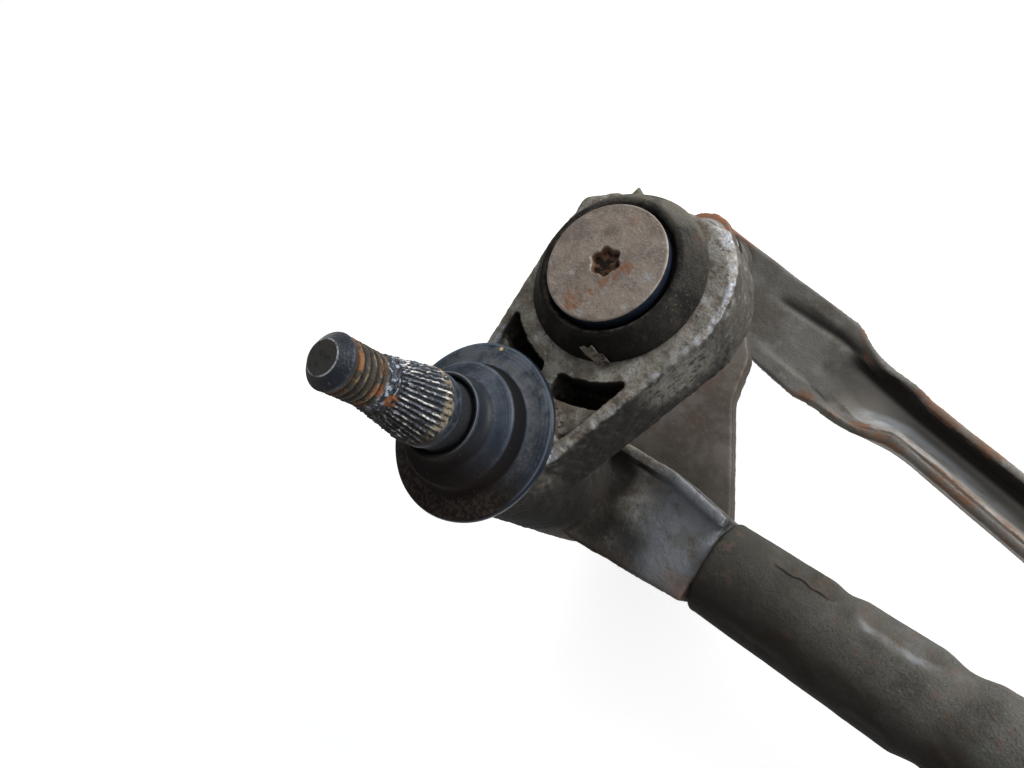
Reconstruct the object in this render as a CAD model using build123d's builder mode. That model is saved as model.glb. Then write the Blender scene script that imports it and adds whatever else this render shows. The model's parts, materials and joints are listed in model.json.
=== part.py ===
from build123d import *
from math import atan2, cos, degrees, pi, radians, sin, sqrt, tan
import os

os.makedirs("parts", exist_ok=True)

# Front windscreen wiper drive: two die-cast pivot housings on a crimped tube frame, a worm gear
# motor on a bracket welded to the tube, and two pressed steel link rods.
# Origin: axis of the first spindle at the upper end of its knurled cone. +Z runs up the spindle,
# +X runs along the frame tube towards the second spindle. Lengths in millimetres.

# Clearances
slip = 0.05
seat = 0.02
free = 0.3

# Spindles
pivot_span = 500.0
thread_r = 4.0
thread_len = 12.0
tip_chamfer = 1.4
cone_top_r = 4.4
cone_base_r = 6.1
cone_len = 8.2
spindle_r = 6.0
rivet_r = 5.0
rivet_head = 2.2
rivet_spread = 1.6

# Pivot housing boss and its bushes
boss_top = -24.0
boss_len = 47.0
boss_r = 12.5
bush_wall = 2.0
bush_len = 14.0
circlip_t = 1.0
circlip_r = 8.0
circlip_groove = 0.5
circlip_gap = 2.4
washer_t = 0.8
washer_r = 8.4
thrust_t = 1.2
thrust_r = 11.0

# Rubber cap on the boss
cap_lip_r = 6.9
cap_lip_top = -13.7
cap_step_r = 10.2
cap_step_top = -18.4
cap_flange_r = 15.1
cap_flange_top = -22.5
cap_wall = 1.3

# Mounting eye of a pivot housing
eye_x = 5.35
eye_y = 34.4
eye_top = -28.0
eye_depth = 14.0
eye_r = 17.9
eye_flat = 14.8
eye_shift = 1.4
eye_round = 1.0
eye_bore_r = 11.3
flank_right = 12.2
pocket_depth = 8.0
pocket_wall = 2.3
ring_wall = 7.4
pocket_rib = 3.4
pocket_w = 3.9
pocket_step = 1.5
web_w = 6.0

# Grommets, sleeves and mounting screws
grommet_r = 15.1
grommet_dome = 4.5
grommet_foot = 3.5
grommet_sink = 2.6
sleeve_r = 6.0
screw_r = 4.0
screw_hole_gap = 0.3
screw_head_r = 10.3
screw_head_t = 4.0
screw_len = 34.0
recess_r = 2.3
recess_depth = 2.4

# Frame tube and the spigots that it is crimped on
tube_r = 9.0
tube_wall = 1.5
tube_y = 1.8
tube_z = -62.0
tube_start = 34.5
root_half = 10.7
root_recess = 1.5
root_lip = 2.2
spigot_len = 40.0
crimp_depth = 1.3
crimp_len = 11.5
crimp_places = (14.5, 30.5)
crimp_angles = (44, 152)

# Levers and their ball studs
lever_len = 62.0
lever_angle = 97.6
lever_t = 4.5
lever_root_r = 11.5
lever_end_r = 7.6
lever_hip = 30.6
lever_hip_up = 10.4
lever_hip_len = 11.0
lever_waist = 18.0
lever_waist_up = 32.0
ball_r = 6.5
ball_drop = 7.5
neck_r = 4.2
stud_flange_r = 7.5
stud_flange_t = 2.0
stud_shank_r = 5.0
stud_head_r = 6.2
stud_head_t = 1.4

# Plastic ball sockets
socket_r = 8.8
socket_skirt_r = 9.6
socket_skirt_t = 1.5
socket_mouth = 3.5
socket_play = 0.1
socket_floor = 1.6
rod_hole_r = 8.2

# Link rods, pressed from sheet
rod_t = 1.8
rod_drop = 1.7
rod_end_half = 10.7
rod_end_reach = 14.0
rod_end_round = 8.5
rod_end_angle = 6.0
rod_dish_base = 6.0
rod_dish_strip = 4.3
rod_dish_angle = 30.0
rod_knee_base = 4.6
rod_knee_strip = 5.4
rod_knee_angle = 62.0
rod_web_base = 3.4
rod_web_strip = 6.9
rod_web_angle = 85.0
rod_flat_len = 36.0
rod_knee_len = 10.0
rod_taper_len = 12.0

# Crank and motor
crank_x = 262.8
crank_y = -51.2
crank_r = 38.0
crank_angle = 107.2
crank_t = 4.5
crank_hub_r = 12.0
crank_end_r = 11.0
crank_joggle = 6.5
crank_joggle_start = 15.0
crank_joggle_run = 8.0
double_ball_step = 14.0
nut_h = 6.0
nut_flat = 13.0
output_r = 6.0
output_thread_r = 4.0
output_end = 1.0
output_bush_wall = 2.5

# Bracket welded to the tube
plate_t = 2.5
plate_half = 38.0
plate_top = -62.0
saddle_len = 60.0
saddle_t = 2.5
foot_x = 250.0
foot_y = -126.0
foot_r = 17.0
foot_bore_r = 9.0
foot_grommet_r = 13.0
foot_dome = 3.0

# Worm gear
module = 1.0
wheel_teeth = 60
worm_r = 5.8
gear_z = -50.0
wheel_face = 8.0
tooth_depth = 2.25
backlash = 0.28
worm_len = 22.0
rim_t = 3.0
web_t = 3.0
hub_r = 10.0

# Gear housing
gear_wall = 2.6
gear_floor_t = 3.0
wheel_air = 2.0
wheel_under = 3.0
gear_rim_top = -38.4
cover_t = 2.4
tunnel_r = 11.5
tunnel_bore_r = 9.0
tunnel_reach = 42.0
tunnel_end_t = 3.0
ear_reach = 45.0
ear_r = 6.0
ear_angles = (30.0, 150.0, 325.0)
ear_screw_r = 3.0
ear_screw_len = 9.0
cover_screw_r = 2.0
cover_screw_depth = 7.0
cover_screw_angles = (30.0, 145.0, 325.0)
output_boss_r = 11.5

# Motor
can_start = 330.0
can_len = 88.0
can_r = 28.0
can_wall = 1.5
mouth_depth = 14.0
shaft_r = 4.0
core_len = 40.0
slots = 8
slot_w = 3.0
slot_depth = 8.0
magnet_t = 5.2
magnet_gap = 0.8
magnet_len = 46.0
magnet_arc = 130.0
bearing_len = 8.0
bearing_r = 8.0
commutator_r = 9.0
commutator_len = 12.0
brush_plate_t = 3.0
brush_w = 6.0
brush_h = 5.0
brush_len = 10.0
guide_reach = 17.5
guide_len = 10.0
winding_over = 6.0

# Connector socket moulded on the gear cover
plug_w = 24.0
plug_h = 13.0
plug_len = 20.0
plug_wall = 1.6
plug_reach = 8.0
pin_count = 5
pin_w = 2.4
pin_t = 0.8

# Sizes worked out from the ones above
boss_bottom = boss_top - boss_len
spindle_hole_r = spindle_r + slip
boss_bore_r = spindle_hole_r + bush_wall
lever_top = boss_bottom - thrust_t - free
lever_bottom = lever_top - lever_t
ball_z = lever_bottom - ball_drop
low_ball_z = ball_z - double_ball_step
ball_ax = lever_len * cos(radians(lever_angle))
ball_ay = lever_len * sin(radians(lever_angle))
crank_pin_x = crank_x + crank_r * cos(radians(crank_angle))
crank_pin_y = crank_y + crank_r * sin(radians(crank_angle))
crank_hub_top = lever_top + crank_joggle
crank_hub_bottom = crank_hub_top - crank_t
wheel_r = module * wheel_teeth / 2
worm_y = crank_y - wheel_r - worm_r
gear_inner_r = wheel_r + module + wheel_air
gear_outer_r = gear_inner_r + gear_wall
gear_floor_top = gear_z - wheel_face / 2 - wheel_under
gear_floor = gear_floor_top - gear_floor_t
tunnel_start = crank_x - tunnel_reach
can_end = can_start + can_len
core_r = can_r - can_wall - magnet_t - magnet_gap
core_start = can_start + 24.0
tube_len = pivot_span - 2 * tube_start
eye_bottom = eye_top - eye_depth


def face_round(points, x, y):
    """Closed outline of (radius, height) points, ready to turn about the upright line at x, y."""
    section = Plane(origin=(x, y, 0), x_dir=(1, 0, 0), z_dir=(0, -1, 0))
    with BuildSketch(section) as half:
        with BuildLine():
            Polyline(*points, close=True)
        make_face()
    return half.sketch


def upright(x, y):
    return Axis((x, y, 0), (0, 0, 1))


def face_lying(points, y, z):
    """Closed outline of (distance along X, radius) points, ready to turn about a line along X."""
    section = Plane(origin=(0, y, z), x_dir=(1, 0, 0), z_dir=(0, -1, 0))
    with BuildSketch(section) as half:
        with BuildLine():
            Polyline(*points, close=True)
        make_face()
    return half.sketch


def lying(y, z):
    return Axis((0, y, z), (1, 0, 0))


def tube_axis():
    return lying(tube_y, tube_z)


def save(piece, name):
    piece.part.label = name
    export_step(piece.part, "parts/" + name + ".step")


# Spindle: thread pin, knurled cone, bearing length with a circlip groove, riveted lower end
def make_spindle(x, name):
    groove_top = boss_top + washer_t + circlip_t + 2 * slip + free
    groove_bottom = groove_top - circlip_t - slip
    groove_r = spindle_r - circlip_groove
    outline = (
        (0, thread_len),
        (thread_r - tip_chamfer, thread_len),
        (thread_r, thread_len - tip_chamfer),
        (thread_r, 0),
        (cone_top_r, 0),
        (cone_base_r, -cone_len),
        (spindle_r, -cone_len),
        (spindle_r, groove_top),
        (groove_r, groove_top),
        (groove_r, groove_bottom),
        (spindle_r, groove_bottom),
        (spindle_r, lever_top + seat),
        (rivet_r, lever_top + seat),
        (rivet_r, lever_bottom - seat),
        (rivet_r + rivet_spread, lever_bottom - seat),
        (rivet_r + 0.6 * rivet_spread, lever_bottom - rivet_head),
        (0, lever_bottom - rivet_head),
    )
    with BuildPart() as spindle:
        revolve(face_round(outline, x, 0), axis=upright(x, 0))
    save(spindle, name)


def make_ring(x, y, inner_r, outer_r, bottom, height, name):
    with BuildPart() as ring:
        with BuildSketch(Plane.XY.offset(bottom)):
            with Locations((x, y)):
                Circle(outer_r)
                Circle(inner_r, mode=Mode.SUBTRACT)
        extrude(amount=height)
    save(ring, name)


# Circlip: open spring ring with two lugs at its gap
def make_circlip(x, name):
    bottom = boss_top + washer_t + free + slip
    with BuildPart() as circlip:
        with BuildSketch(Plane.XY.offset(bottom)):
            with Locations((x, 0)):
                Circle(circlip_r)
                Circle(spindle_r - circlip_groove + slip, mode=Mode.SUBTRACT)
            with Locations((x, -circlip_r)):
                Rectangle(circlip_gap, 2 * circlip_r - spindle_r, mode=Mode.SUBTRACT)
        extrude(amount=circlip_t)
    save(circlip, name)


# Rubber cap: flange on the boss, stepped dome over the circlip, lip on the spindle
def make_cap(x, name):
    hollow_r = washer_r + free
    outline = (
        (spindle_r + slip, cap_lip_top),
        (cap_lip_r, cap_lip_top),
        (cap_lip_r + 0.1, cap_lip_top - 1.2),
        (cap_lip_r - 0.3, cap_step_top + 1.6),
        (cap_lip_r + 1.0, cap_step_top + 0.5),
        (cap_step_r - 0.4, cap_step_top),
        (cap_step_r, cap_step_top - 0.6),
        (cap_step_r + 0.4, cap_flange_top + 1.4),
        (cap_step_r + 1.6, cap_flange_top + 0.3),
        (cap_flange_r - 0.5, cap_flange_top),
        (cap_flange_r, boss_top + 0.6),
        (cap_flange_r - 0.7, boss_top + seat),
        (hollow_r, boss_top + seat),
        (hollow_r, cap_step_top - 1.5 * cap_wall),
        (spindle_r + slip + cap_wall, cap_step_top - cap_wall),
        (spindle_r + slip, cap_step_top - 0.2 * cap_wall),
    )
    with BuildPart() as cap:
        revolve(face_round(outline, x, 0), axis=upright(x, 0))
    save(cap, name)


def crimp_cutter(reach, angle, depth, grow):
    """Drum that presses one dent into the tube: grow sets it back for the inner skins."""
    drum_r = (crimp_len**2 / 4 + depth**2) / (2 * depth)
    away = tube_r - depth + drum_r
    y = tube_y + away * cos(radians(angle))
    z = tube_z + away * sin(radians(angle))
    across = Plane(origin=(reach, y, z), z_dir=(0, -sin(radians(angle)), cos(radians(angle))))
    with BuildPart(across, mode=Mode.PRIVATE) as drum:
        Cylinder(drum_r + grow, 1.5 * tube_r)
    return drum.part


def crimps(grow):
    """The four dents of the first tube end, two rows of two."""
    reaches = [tube_start + place for place in crimp_places]
    return [
        crimp_cutter(reach, angle, crimp_depth, grow) for angle in crimp_angles for reach in reaches
    ]


# Pivot housing, the die-casting that carries the spindle: boss, arm with the mounting eye,
# root and spigot for the tube
mid_plane = Plane.YZ.offset(pivot_span / 2)
eye_cx = eye_x + eye_shift
eye_cy = eye_y + 0.8
with BuildSketch() as arm:
    with BuildLine():
        CenterArc((eye_cx, eye_cy), eye_r, 0, 360)
        Line((eye_cx - eye_r, 0), (flank_right, 0))
    make_hull()
with BuildSketch() as recess:
    offset(arm.sketch, amount=-pocket_wall)
    Circle(boss_r + 0.6, mode=Mode.SUBTRACT)
    with Locations((eye_x, eye_y)):
        Circle(eye_bore_r + ring_wall, mode=Mode.SUBTRACT)
    with Locations((eye_x - 1.5, eye_y / 2)):
        Rectangle(pocket_rib, eye_y, mode=Mode.SUBTRACT)
    fillet(vertices(), 0.5)
with BuildSketch() as pockets:
    add(recess.sketch)
    with Locations((eye_x, eye_y)):
        Circle(eye_bore_r + ring_wall + pocket_w, mode=Mode.INTERSECT)
with BuildPart() as pivot_housing_a:
    with BuildSketch(Plane.XY.offset(eye_bottom)):
        add(arm.sketch)
        with Locations((eye_cx, eye_y + eye_flat + eye_r)):
            Rectangle(4 * eye_r, 2 * eye_r, mode=Mode.SUBTRACT)
    extrude(amount=eye_depth)
    fillet(pivot_housing_a.faces().sort_by(Axis.Z)[-1].outer_wire().edges(), eye_round)
    with BuildSketch(Plane.XY.offset(boss_bottom)):
        Circle(boss_r)
    extrude(amount=boss_len)
    # Web under the arm, from the boss towards the eye
    with BuildSketch(Plane.YZ.offset(-web_w / 2)):
        with BuildLine():
            Polyline(
                (boss_r - 1, eye_bottom),
                (eye_y - grommet_r - free, eye_bottom),
                (boss_r - 1, tube_z),
                close=True,
            )
        make_face()
    extrude(amount=web_w)
    # Root between boss and tube, its top sunk but for a raised lip along the eye's side
    with BuildSketch(Plane.XY.offset(tube_z - tube_r)):
        with BuildLine():
            Polyline(
                (0, tube_y - root_half),
                (12, tube_y - root_half),
                (tube_start, tube_y - tube_r + 0.6),
                (tube_start, tube_y + tube_r - 0.6),
                (22, tube_y + root_half),
                (0, tube_y + root_half),
                close=True,
            )
        make_face()
    extrude(amount=2 * tube_r)
    with BuildSketch(Plane.XY.offset(tube_z + tube_r)):
        with BuildLine():
            Polyline(
                (0, tube_y - root_half - 1),
                (tube_start + 1, tube_y - root_half - 1),
                (tube_start + 1, tube_y + tube_r - 1.3 * root_lip),
                (22, tube_y + root_half - root_lip),
                (0, tube_y + root_half - root_lip),
                close=True,
            )
        make_face()
    extrude(amount=-root_recess, mode=Mode.SUBTRACT)
    with BuildSketch(Plane.XY.offset(boss_bottom)):
        Circle(boss_r)
    extrude(amount=boss_len)
    # Spigot inside the tube
    spigot_r = tube_r - tube_wall - seat
    spigot_end = tube_start + spigot_len
    spigot_outline = (
        (tube_start - 4, 0),
        (tube_start - 4, spigot_r),
        (spigot_end - 2, spigot_r),
        (spigot_end, spigot_r - 2),
        (spigot_end, 0),
    )
    revolve(face_lying(spigot_outline, tube_y, tube_z), axis=tube_axis())
    with BuildSketch(Plane.YZ.offset(spigot_end)):
        with Locations((tube_y, tube_z)):
            Circle(spigot_r - 3)
    extrude(amount=-spigot_len + 6, mode=Mode.SUBTRACT)
    for dent in crimps(tube_wall + 0.1):
        add(dent, mode=Mode.SUBTRACT)
    # Bores of the boss and of the eye
    with BuildSketch(Plane.XY.offset(boss_top)):
        Circle(boss_bore_r + seat)
    extrude(amount=-boss_len, mode=Mode.SUBTRACT)
    with BuildSketch(Plane.XY.offset(eye_top)):
        with Locations((eye_x, eye_y)):
            Circle(eye_bore_r)
    extrude(amount=-eye_depth, mode=Mode.SUBTRACT)
    # Shallow recess between the eye ring and the boss, parted by a rib, with a deep slot on each
    # side of it along the ring
    with BuildSketch(Plane.XY.offset(eye_top)):
        add(recess.sketch)
    extrude(amount=-pocket_step, mode=Mode.SUBTRACT)
    with BuildSketch(Plane.XY.offset(eye_top)):
        add(pockets.sketch)
    extrude(amount=-pocket_depth, mode=Mode.SUBTRACT)
save(pivot_housing_a, "pivot_housing_a")

with BuildPart() as pivot_housing_b:
    mirror(pivot_housing_a.part, about=mid_plane)
save(pivot_housing_b, "pivot_housing_b")

# Frame tube with the dents that lock it on the spigots
with BuildPart() as frame_tube:
    with BuildSketch(Plane.YZ.offset(tube_start + free)):
        with Locations((tube_y, tube_z)):
            Circle(tube_r)
    extrude(amount=tube_len - 2 * free)
    for dent in crimps(0):
        add(dent, mode=Mode.SUBTRACT)
        mirror(dent, about=mid_plane, mode=Mode.SUBTRACT)
    with BuildPart(mode=Mode.PRIVATE) as void:
        with BuildSketch(Plane.YZ.offset(tube_start)):
            with Locations((tube_y, tube_z)):
                Circle(tube_r - tube_wall)
        extrude(amount=tube_len)
        for dent in crimps(tube_wall):
            add(dent, mode=Mode.SUBTRACT)
            mirror(dent, about=mid_plane, mode=Mode.SUBTRACT)
    add(void.part, mode=Mode.SUBTRACT)
save(frame_tube, "frame_tube")


# Spindle lever: pressed plate, broad at the hip and tapering to the ball stud
def make_lever(x, name):
    end_x = x + ball_ax
    with BuildPart() as lever:
        with BuildSketch(Plane.XY.offset(lever_bottom)):
            with Locations((x, 0)):
                Circle(lever_root_r)
            with Locations((end_x, ball_ay)):
                Circle(lever_end_r)
            with BuildLine():
                Polyline(
                    (x - lever_root_r, 0),
                    (end_x - lever_end_r, ball_ay),
                    (end_x + 0.7 * lever_end_r, ball_ay + 0.7 * lever_end_r),
                    (x + lever_waist - 1.7, lever_waist_up + 9.5),
                    (x + lever_waist, lever_waist_up),
                    (x + lever_hip, lever_hip_up),
                    (x + lever_hip, lever_hip_up - lever_hip_len),
                    (x + 7, -lever_root_r + 2.5),
                    close=True,
                )
            make_face()
            with Locations((x, 0)):
                Circle(rivet_r + seat, mode=Mode.SUBTRACT)
            with Locations((end_x, ball_ay)):
                Circle(stud_shank_r + seat, mode=Mode.SUBTRACT)
        extrude(amount=lever_t)
        hip = lever.edges().filter_by(Axis.Z).filter_by_position(Axis.X, x + lever_waist - 0.5, x + 40)
        fillet(hip, 4.0)
    save(lever, name)


def ball_profile(centre_z, top_z, bottom_z):
    """Stud outline from its upper neck round the ball to its lower neck or end."""
    up = sqrt(ball_r**2 - neck_r**2)
    with BuildLine() as line:
        Line((0, top_z), (neck_r, top_z))
        Line((neck_r, top_z), (neck_r, centre_z + up))
        if bottom_z is None:
            ThreePointArc((neck_r, centre_z + up), (ball_r, centre_z), (0, centre_z - ball_r))
            Line((0, centre_z - ball_r), (0, top_z))
        else:
            ThreePointArc((neck_r, centre_z + up), (ball_r, centre_z), (neck_r, centre_z - up))
            Line((neck_r, centre_z - up), (neck_r, bottom_z))
            Line((neck_r, bottom_z), (0, bottom_z))
            Line((0, bottom_z), (0, top_z))
    return line.line


def turned_ball(x, y, centre_z, top_z, bottom_z=None):
    section = Plane(origin=(x, y, 0), x_dir=(1, 0, 0), z_dir=(0, -1, 0))
    with BuildSketch(section) as half:
        add(ball_profile(centre_z, top_z, bottom_z))
        make_face()
    return half.sketch


# Lever ball stud: rivet head and shank through the lever, flange, neck and ball
def make_lever_stud(x, y, name):
    head_top = lever_top + stud_head_t
    shank = (
        (0, head_top),
        (stud_head_r - 1.2, head_top),
        (stud_head_r, lever_top + seat),
        (stud_shank_r, lever_top + seat),
        (stud_shank_r, lever_bottom - seat),
        (stud_flange_r, lever_bottom - seat),
        (stud_flange_r, lever_bottom - stud_flange_t),
        (0, lever_bottom - stud_flange_t),
    )
    with BuildPart() as stud:
        revolve(face_round(shank, x, y), axis=upright(x, y))
        revolve(turned_ball(x, y, ball_z, lever_bottom - stud_flange_t), axis=upright(x, y))
    save(stud, name)


# Mounting grommet: domed upper flange, body in the bore, foot below
def make_grommet(x, y, top, thickness, flange_r, bore_r, head_r, dome, name):
    bottom = top - thickness
    inner = sleeve_r + seat
    recess = top + dome - grommet_sink
    outline = (
        (inner, recess),
        (head_r + 0.6, recess),
        (head_r + 0.6, top + dome - 0.3),
        (head_r + 1.6, top + dome),
        (flange_r - 0.7, top + 0.45 * dome),
        (flange_r, top + 0.2 * dome),
        (flange_r, top + seat),
        (bore_r - seat, top + seat),
        (bore_r - seat, bottom - seat),
        (flange_r - 1.4, bottom - seat),
        (flange_r - 2.2, bottom - grommet_foot),
        (inner, bottom - grommet_foot),
    )
    with BuildPart() as grommet:
        revolve(face_round(outline, x, y), axis=upright(x, y))
    save(grommet, name)


# Mounting screw: large flat head with a six-lobed recess and a plain shank
def make_mount_screw(x, y, under_head, name):
    with BuildPart() as screw:
        with BuildSketch(Plane.XY.offset(under_head)):
            with Locations((x, y)):
                Circle(screw_head_r)
        extrude(amount=screw_head_t)
        chamfer(screw.faces().sort_by(Axis.Z)[-1].edges(), 0.4)
        with BuildSketch(Plane.XY.offset(under_head)):
            with Locations((x, y)):
                Circle(screw_r)
        extrude(amount=-screw_len)
        chamfer(screw.faces().sort_by(Axis.Z)[0].edges(), 0.8)
        with BuildSketch(Plane.XY.offset(under_head + screw_head_t)):
            with Locations((x, y)):
                Circle(recess_r)
                with PolarLocations(recess_r, 6):
                    Circle(0.3 * recess_r)
        extrude(amount=-recess_depth, mode=Mode.SUBTRACT)
    save(screw, name)


# Both pivots
sleeve_top = eye_top + grommet_dome - grommet_sink + 0.1
eye_places = {"a": eye_x, "b": pivot_span - eye_x}
for side, spindle_x in {"a": 0.0, "b": pivot_span}.items():
    eye_here = eye_places[side]
    ball_here = spindle_x + ball_ax
    make_spindle(spindle_x, "spindle_" + side)
    washer_start = boss_top + slip
    make_ring(spindle_x, 0, spindle_hole_r, washer_r, washer_start, washer_t, "spindle_washer_" + side)
    make_circlip(spindle_x, "spindle_circlip_" + side)
    make_cap(spindle_x, "spindle_cap_" + side)
    upper_start = boss_top - bush_len
    make_ring(spindle_x, 0, spindle_hole_r, boss_bore_r, upper_start, bush_len, "upper_bush_" + side)
    make_ring(spindle_x, 0, spindle_hole_r, boss_bore_r, boss_bottom, bush_len, "lower_bush_" + side)
    thrust_start = boss_bottom - free / 2 - thrust_t
    make_ring(spindle_x, 0, spindle_hole_r, thrust_r, thrust_start, thrust_t, "thrust_washer_" + side)
    make_lever(spindle_x, "spindle_lever_" + side)
    make_lever_stud(ball_here, ball_ay, "lever_ball_stud_" + side)
    make_grommet(
        eye_here,
        eye_y,
        eye_top,
        eye_depth,
        grommet_r,
        eye_bore_r,
        screw_head_r,
        grommet_dome,
        "mount_grommet_" + side,
    )
    sleeve_bottom = eye_bottom - grommet_foot
    make_ring(
        eye_here,
        eye_y,
        screw_r + screw_hole_gap,
        sleeve_r,
        sleeve_bottom,
        sleeve_top - sleeve_bottom,
        "mount_sleeve_" + side,
    )
    make_mount_screw(eye_here, eye_y, sleeve_top + seat, "mount_screw_" + side)


# Plastic ball socket: cup on the ball, skirt on the rod, snap rim below it
def make_socket(plane, closed, name):
    inner_r = ball_r + socket_play
    mouth_r = sqrt(inner_r**2 - socket_mouth**2)
    plate_bottom = -rod_drop - rod_t
    with BuildPart() as socket:
        with BuildSketch(Plane(origin=plane.origin, x_dir=plane.x_dir, z_dir=-plane.y_dir)):
            with BuildLine():
                if closed:
                    low = -inner_r - socket_floor
                    lower = Polyline((rod_hole_r - 1.2, low), (0, low), (0, -inner_r))
                    ThreePointArc((0, -inner_r), (inner_r, 0), (mouth_r, socket_mouth))
                else:
                    low = plate_bottom - 1.6
                    low_r = sqrt(inner_r**2 - low**2)
                    lower = Polyline((rod_hole_r - 1.2, low), (low_r, low))
                    ThreePointArc((low_r, low), (inner_r, 0), (mouth_r, socket_mouth))
                Polyline(
                    (mouth_r, socket_mouth),
                    (mouth_r + 1.0, socket_mouth + 0.5),
                    (socket_r - 0.8, socket_mouth + 0.5),
                    (socket_r - 0.4, -rod_drop + socket_skirt_t),
                    (socket_skirt_r - 0.3, -rod_drop + socket_skirt_t - 0.3),
                    (socket_skirt_r - 0.3, -rod_drop + seat),
                    (rod_hole_r - seat, -rod_drop + seat),
                    (rod_hole_r - seat, plate_bottom - seat),
                    (rod_hole_r + 0.5, plate_bottom - seat),
                    (rod_hole_r - 0.2, plate_bottom - 1.5),
                    lower @ 0,
                )
            make_face()
        revolve(axis=Axis(plane.origin, plane.z_dir))
    save(socket, name)


def rod_section(plane, reach, base, strip, angle):
    """One cross-section of the channel: a bent strip of sheet with mitred corners."""
    lean = radians(angle)
    top_t = base + strip * cos(lean)
    top_h = strip * sin(lean)
    skin_t = rod_t * sin(lean)
    skin_h = rod_t * cos(lean)
    mitre = rod_t * tan(lean / 2)
    floor = plane.from_local_coords((reach, 0, -rod_drop))
    here = Plane(origin=floor, x_dir=plane.y_dir, z_dir=plane.x_dir)
    with BuildSketch(here) as section:
        with BuildLine():
            Polyline(
                (-top_t, top_h),
                (-base, 0),
                (base, 0),
                (top_t, top_h),
                (top_t + skin_t, top_h - skin_h),
                (base + mitre, -rod_t),
                (-base - mitre, -rod_t),
                (-top_t - skin_t, top_h - skin_h),
                close=True,
            )
        make_face()
    return section.sketch


# Link rod: dished flat ends round the sockets, drawn up into a narrow channel between them
def make_rod(plane, length, name):
    flat = (rod_dish_base, rod_dish_strip, rod_end_angle)
    dish = (rod_dish_base, rod_dish_strip, rod_dish_angle)
    knee = (rod_knee_base, rod_knee_strip, rod_knee_angle)
    web = (rod_web_base, rod_web_strip, rod_web_angle)
    knee_at = rod_flat_len + rod_knee_len
    web_at = knee_at + rod_taper_len
    stations = (
        (-rod_end_reach, flat),
        (rod_flat_len / 2, flat),
        (rod_flat_len, dish),
        (knee_at, knee),
        (web_at, web),
        (length - web_at, web),
        (length - knee_at, knee),
        (length - rod_flat_len, dish),
        (length - rod_flat_len / 2, flat),
        (length + rod_end_reach, flat),
    )
    with BuildPart() as rod:
        for start, end in zip(stations, stations[1:]):
            first = rod_section(plane, start[0], *start[1])
            last = rod_section(plane, end[0], *end[1])
            loft([first, last], ruled=True)
        # Ends cut to a rounded plan, and the holes for the sockets
        below = Plane(
            origin=plane.from_local_coords((length / 2, 0, -20)), x_dir=plane.x_dir, z_dir=plane.z_dir
        )
        with BuildSketch(below):
            RectangleRounded(length + 2 * rod_end_reach, 2 * rod_end_half, rod_end_round)
        extrude(amount=40, mode=Mode.INTERSECT)
        with BuildSketch(below):
            with Locations((-length / 2, 0), (length / 2, 0)):
                Circle(rod_hole_r)
        extrude(amount=40, mode=Mode.SUBTRACT)
        # Seats that keep the dish clear of the socket skirts
        floor = Plane(
            origin=plane.from_local_coords((length / 2, 0, -rod_drop)), x_dir=plane.x_dir, z_dir=plane.z_dir
        )
        with BuildSketch(floor):
            with Locations((-length / 2, 0), (length / 2, 0)):
                Circle(socket_skirt_r)
        extrude(amount=10, mode=Mode.SUBTRACT)
    save(rod, name)


def rod_plane(from_x, from_y, from_z, to_x, to_y, to_z):
    along = Vector(to_x - from_x, to_y - from_y, to_z - from_z).normalized()
    side = Vector(0, 0, 1).cross(along).normalized()
    return Plane(origin=(from_x, from_y, from_z), x_dir=along, z_dir=along.cross(side))


def rod_length(from_x, from_y, from_z, to_x, to_y, to_z):
    return sqrt((to_x - from_x) ** 2 + (to_y - from_y) ** 2 + (to_z - from_z) ** 2)


rod_a_ends = (ball_ax, ball_ay, ball_z, crank_pin_x, crank_pin_y, ball_z)
rod_b_ends = (pivot_span + ball_ax, ball_ay, ball_z, crank_pin_x, crank_pin_y, low_ball_z)
rod_a_plane = rod_plane(*rod_a_ends)
rod_b_plane = rod_plane(*rod_b_ends)
rod_a_len = rod_length(*rod_a_ends)
rod_b_len = rod_length(*rod_b_ends)
make_rod(rod_a_plane, rod_a_len, "link_rod_a")
make_rod(rod_b_plane, rod_b_len, "link_rod_b")


def shifted(plane, reach):
    return Plane(origin=plane.from_local_coords((reach, 0, 0)), x_dir=plane.x_dir, z_dir=plane.z_dir)


make_socket(rod_a_plane, True, "ball_socket_a")
make_socket(shifted(rod_a_plane, rod_a_len), False, "crank_socket_a")
make_socket(rod_b_plane, True, "ball_socket_b")
make_socket(shifted(rod_b_plane, rod_b_len), True, "crank_socket_b")

# Double ball stud of the crank: flange close under the crank, two balls in line
stud_top = lever_bottom - free
stud_flange_bottom = lever_bottom - stud_flange_t
with BuildPart() as crank_ball_stud:
    with BuildSketch(Plane.XY.offset(stud_flange_bottom)):
        with Locations((crank_pin_x, crank_pin_y)):
            Circle(stud_flange_r)
    extrude(amount=stud_top - stud_flange_bottom)
    pin_axis = upright(crank_pin_x, crank_pin_y)
    upper_neck = turned_ball(crank_pin_x, crank_pin_y, ball_z, stud_flange_bottom, ball_z - ball_r)
    revolve(upper_neck, axis=pin_axis)
    revolve(turned_ball(crank_pin_x, crank_pin_y, low_ball_z, ball_z - ball_r), axis=pin_axis)
save(crank_ball_stud, "crank_ball_stud")

# Rivet left in the crank's pin end
with BuildPart() as crank_rivet:
    rivet_outline = (
        (0, lever_top + stud_head_t),
        (stud_head_r - 1.2, lever_top + stud_head_t),
        (stud_head_r, lever_top + seat),
        (stud_shank_r, lever_top + seat),
        (stud_shank_r, lever_bottom),
        (0, lever_bottom),
    )
    revolve(face_round(rivet_outline, crank_pin_x, crank_pin_y), axis=upright(crank_pin_x, crank_pin_y))
save(crank_rivet, "crank_rivet")

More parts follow.
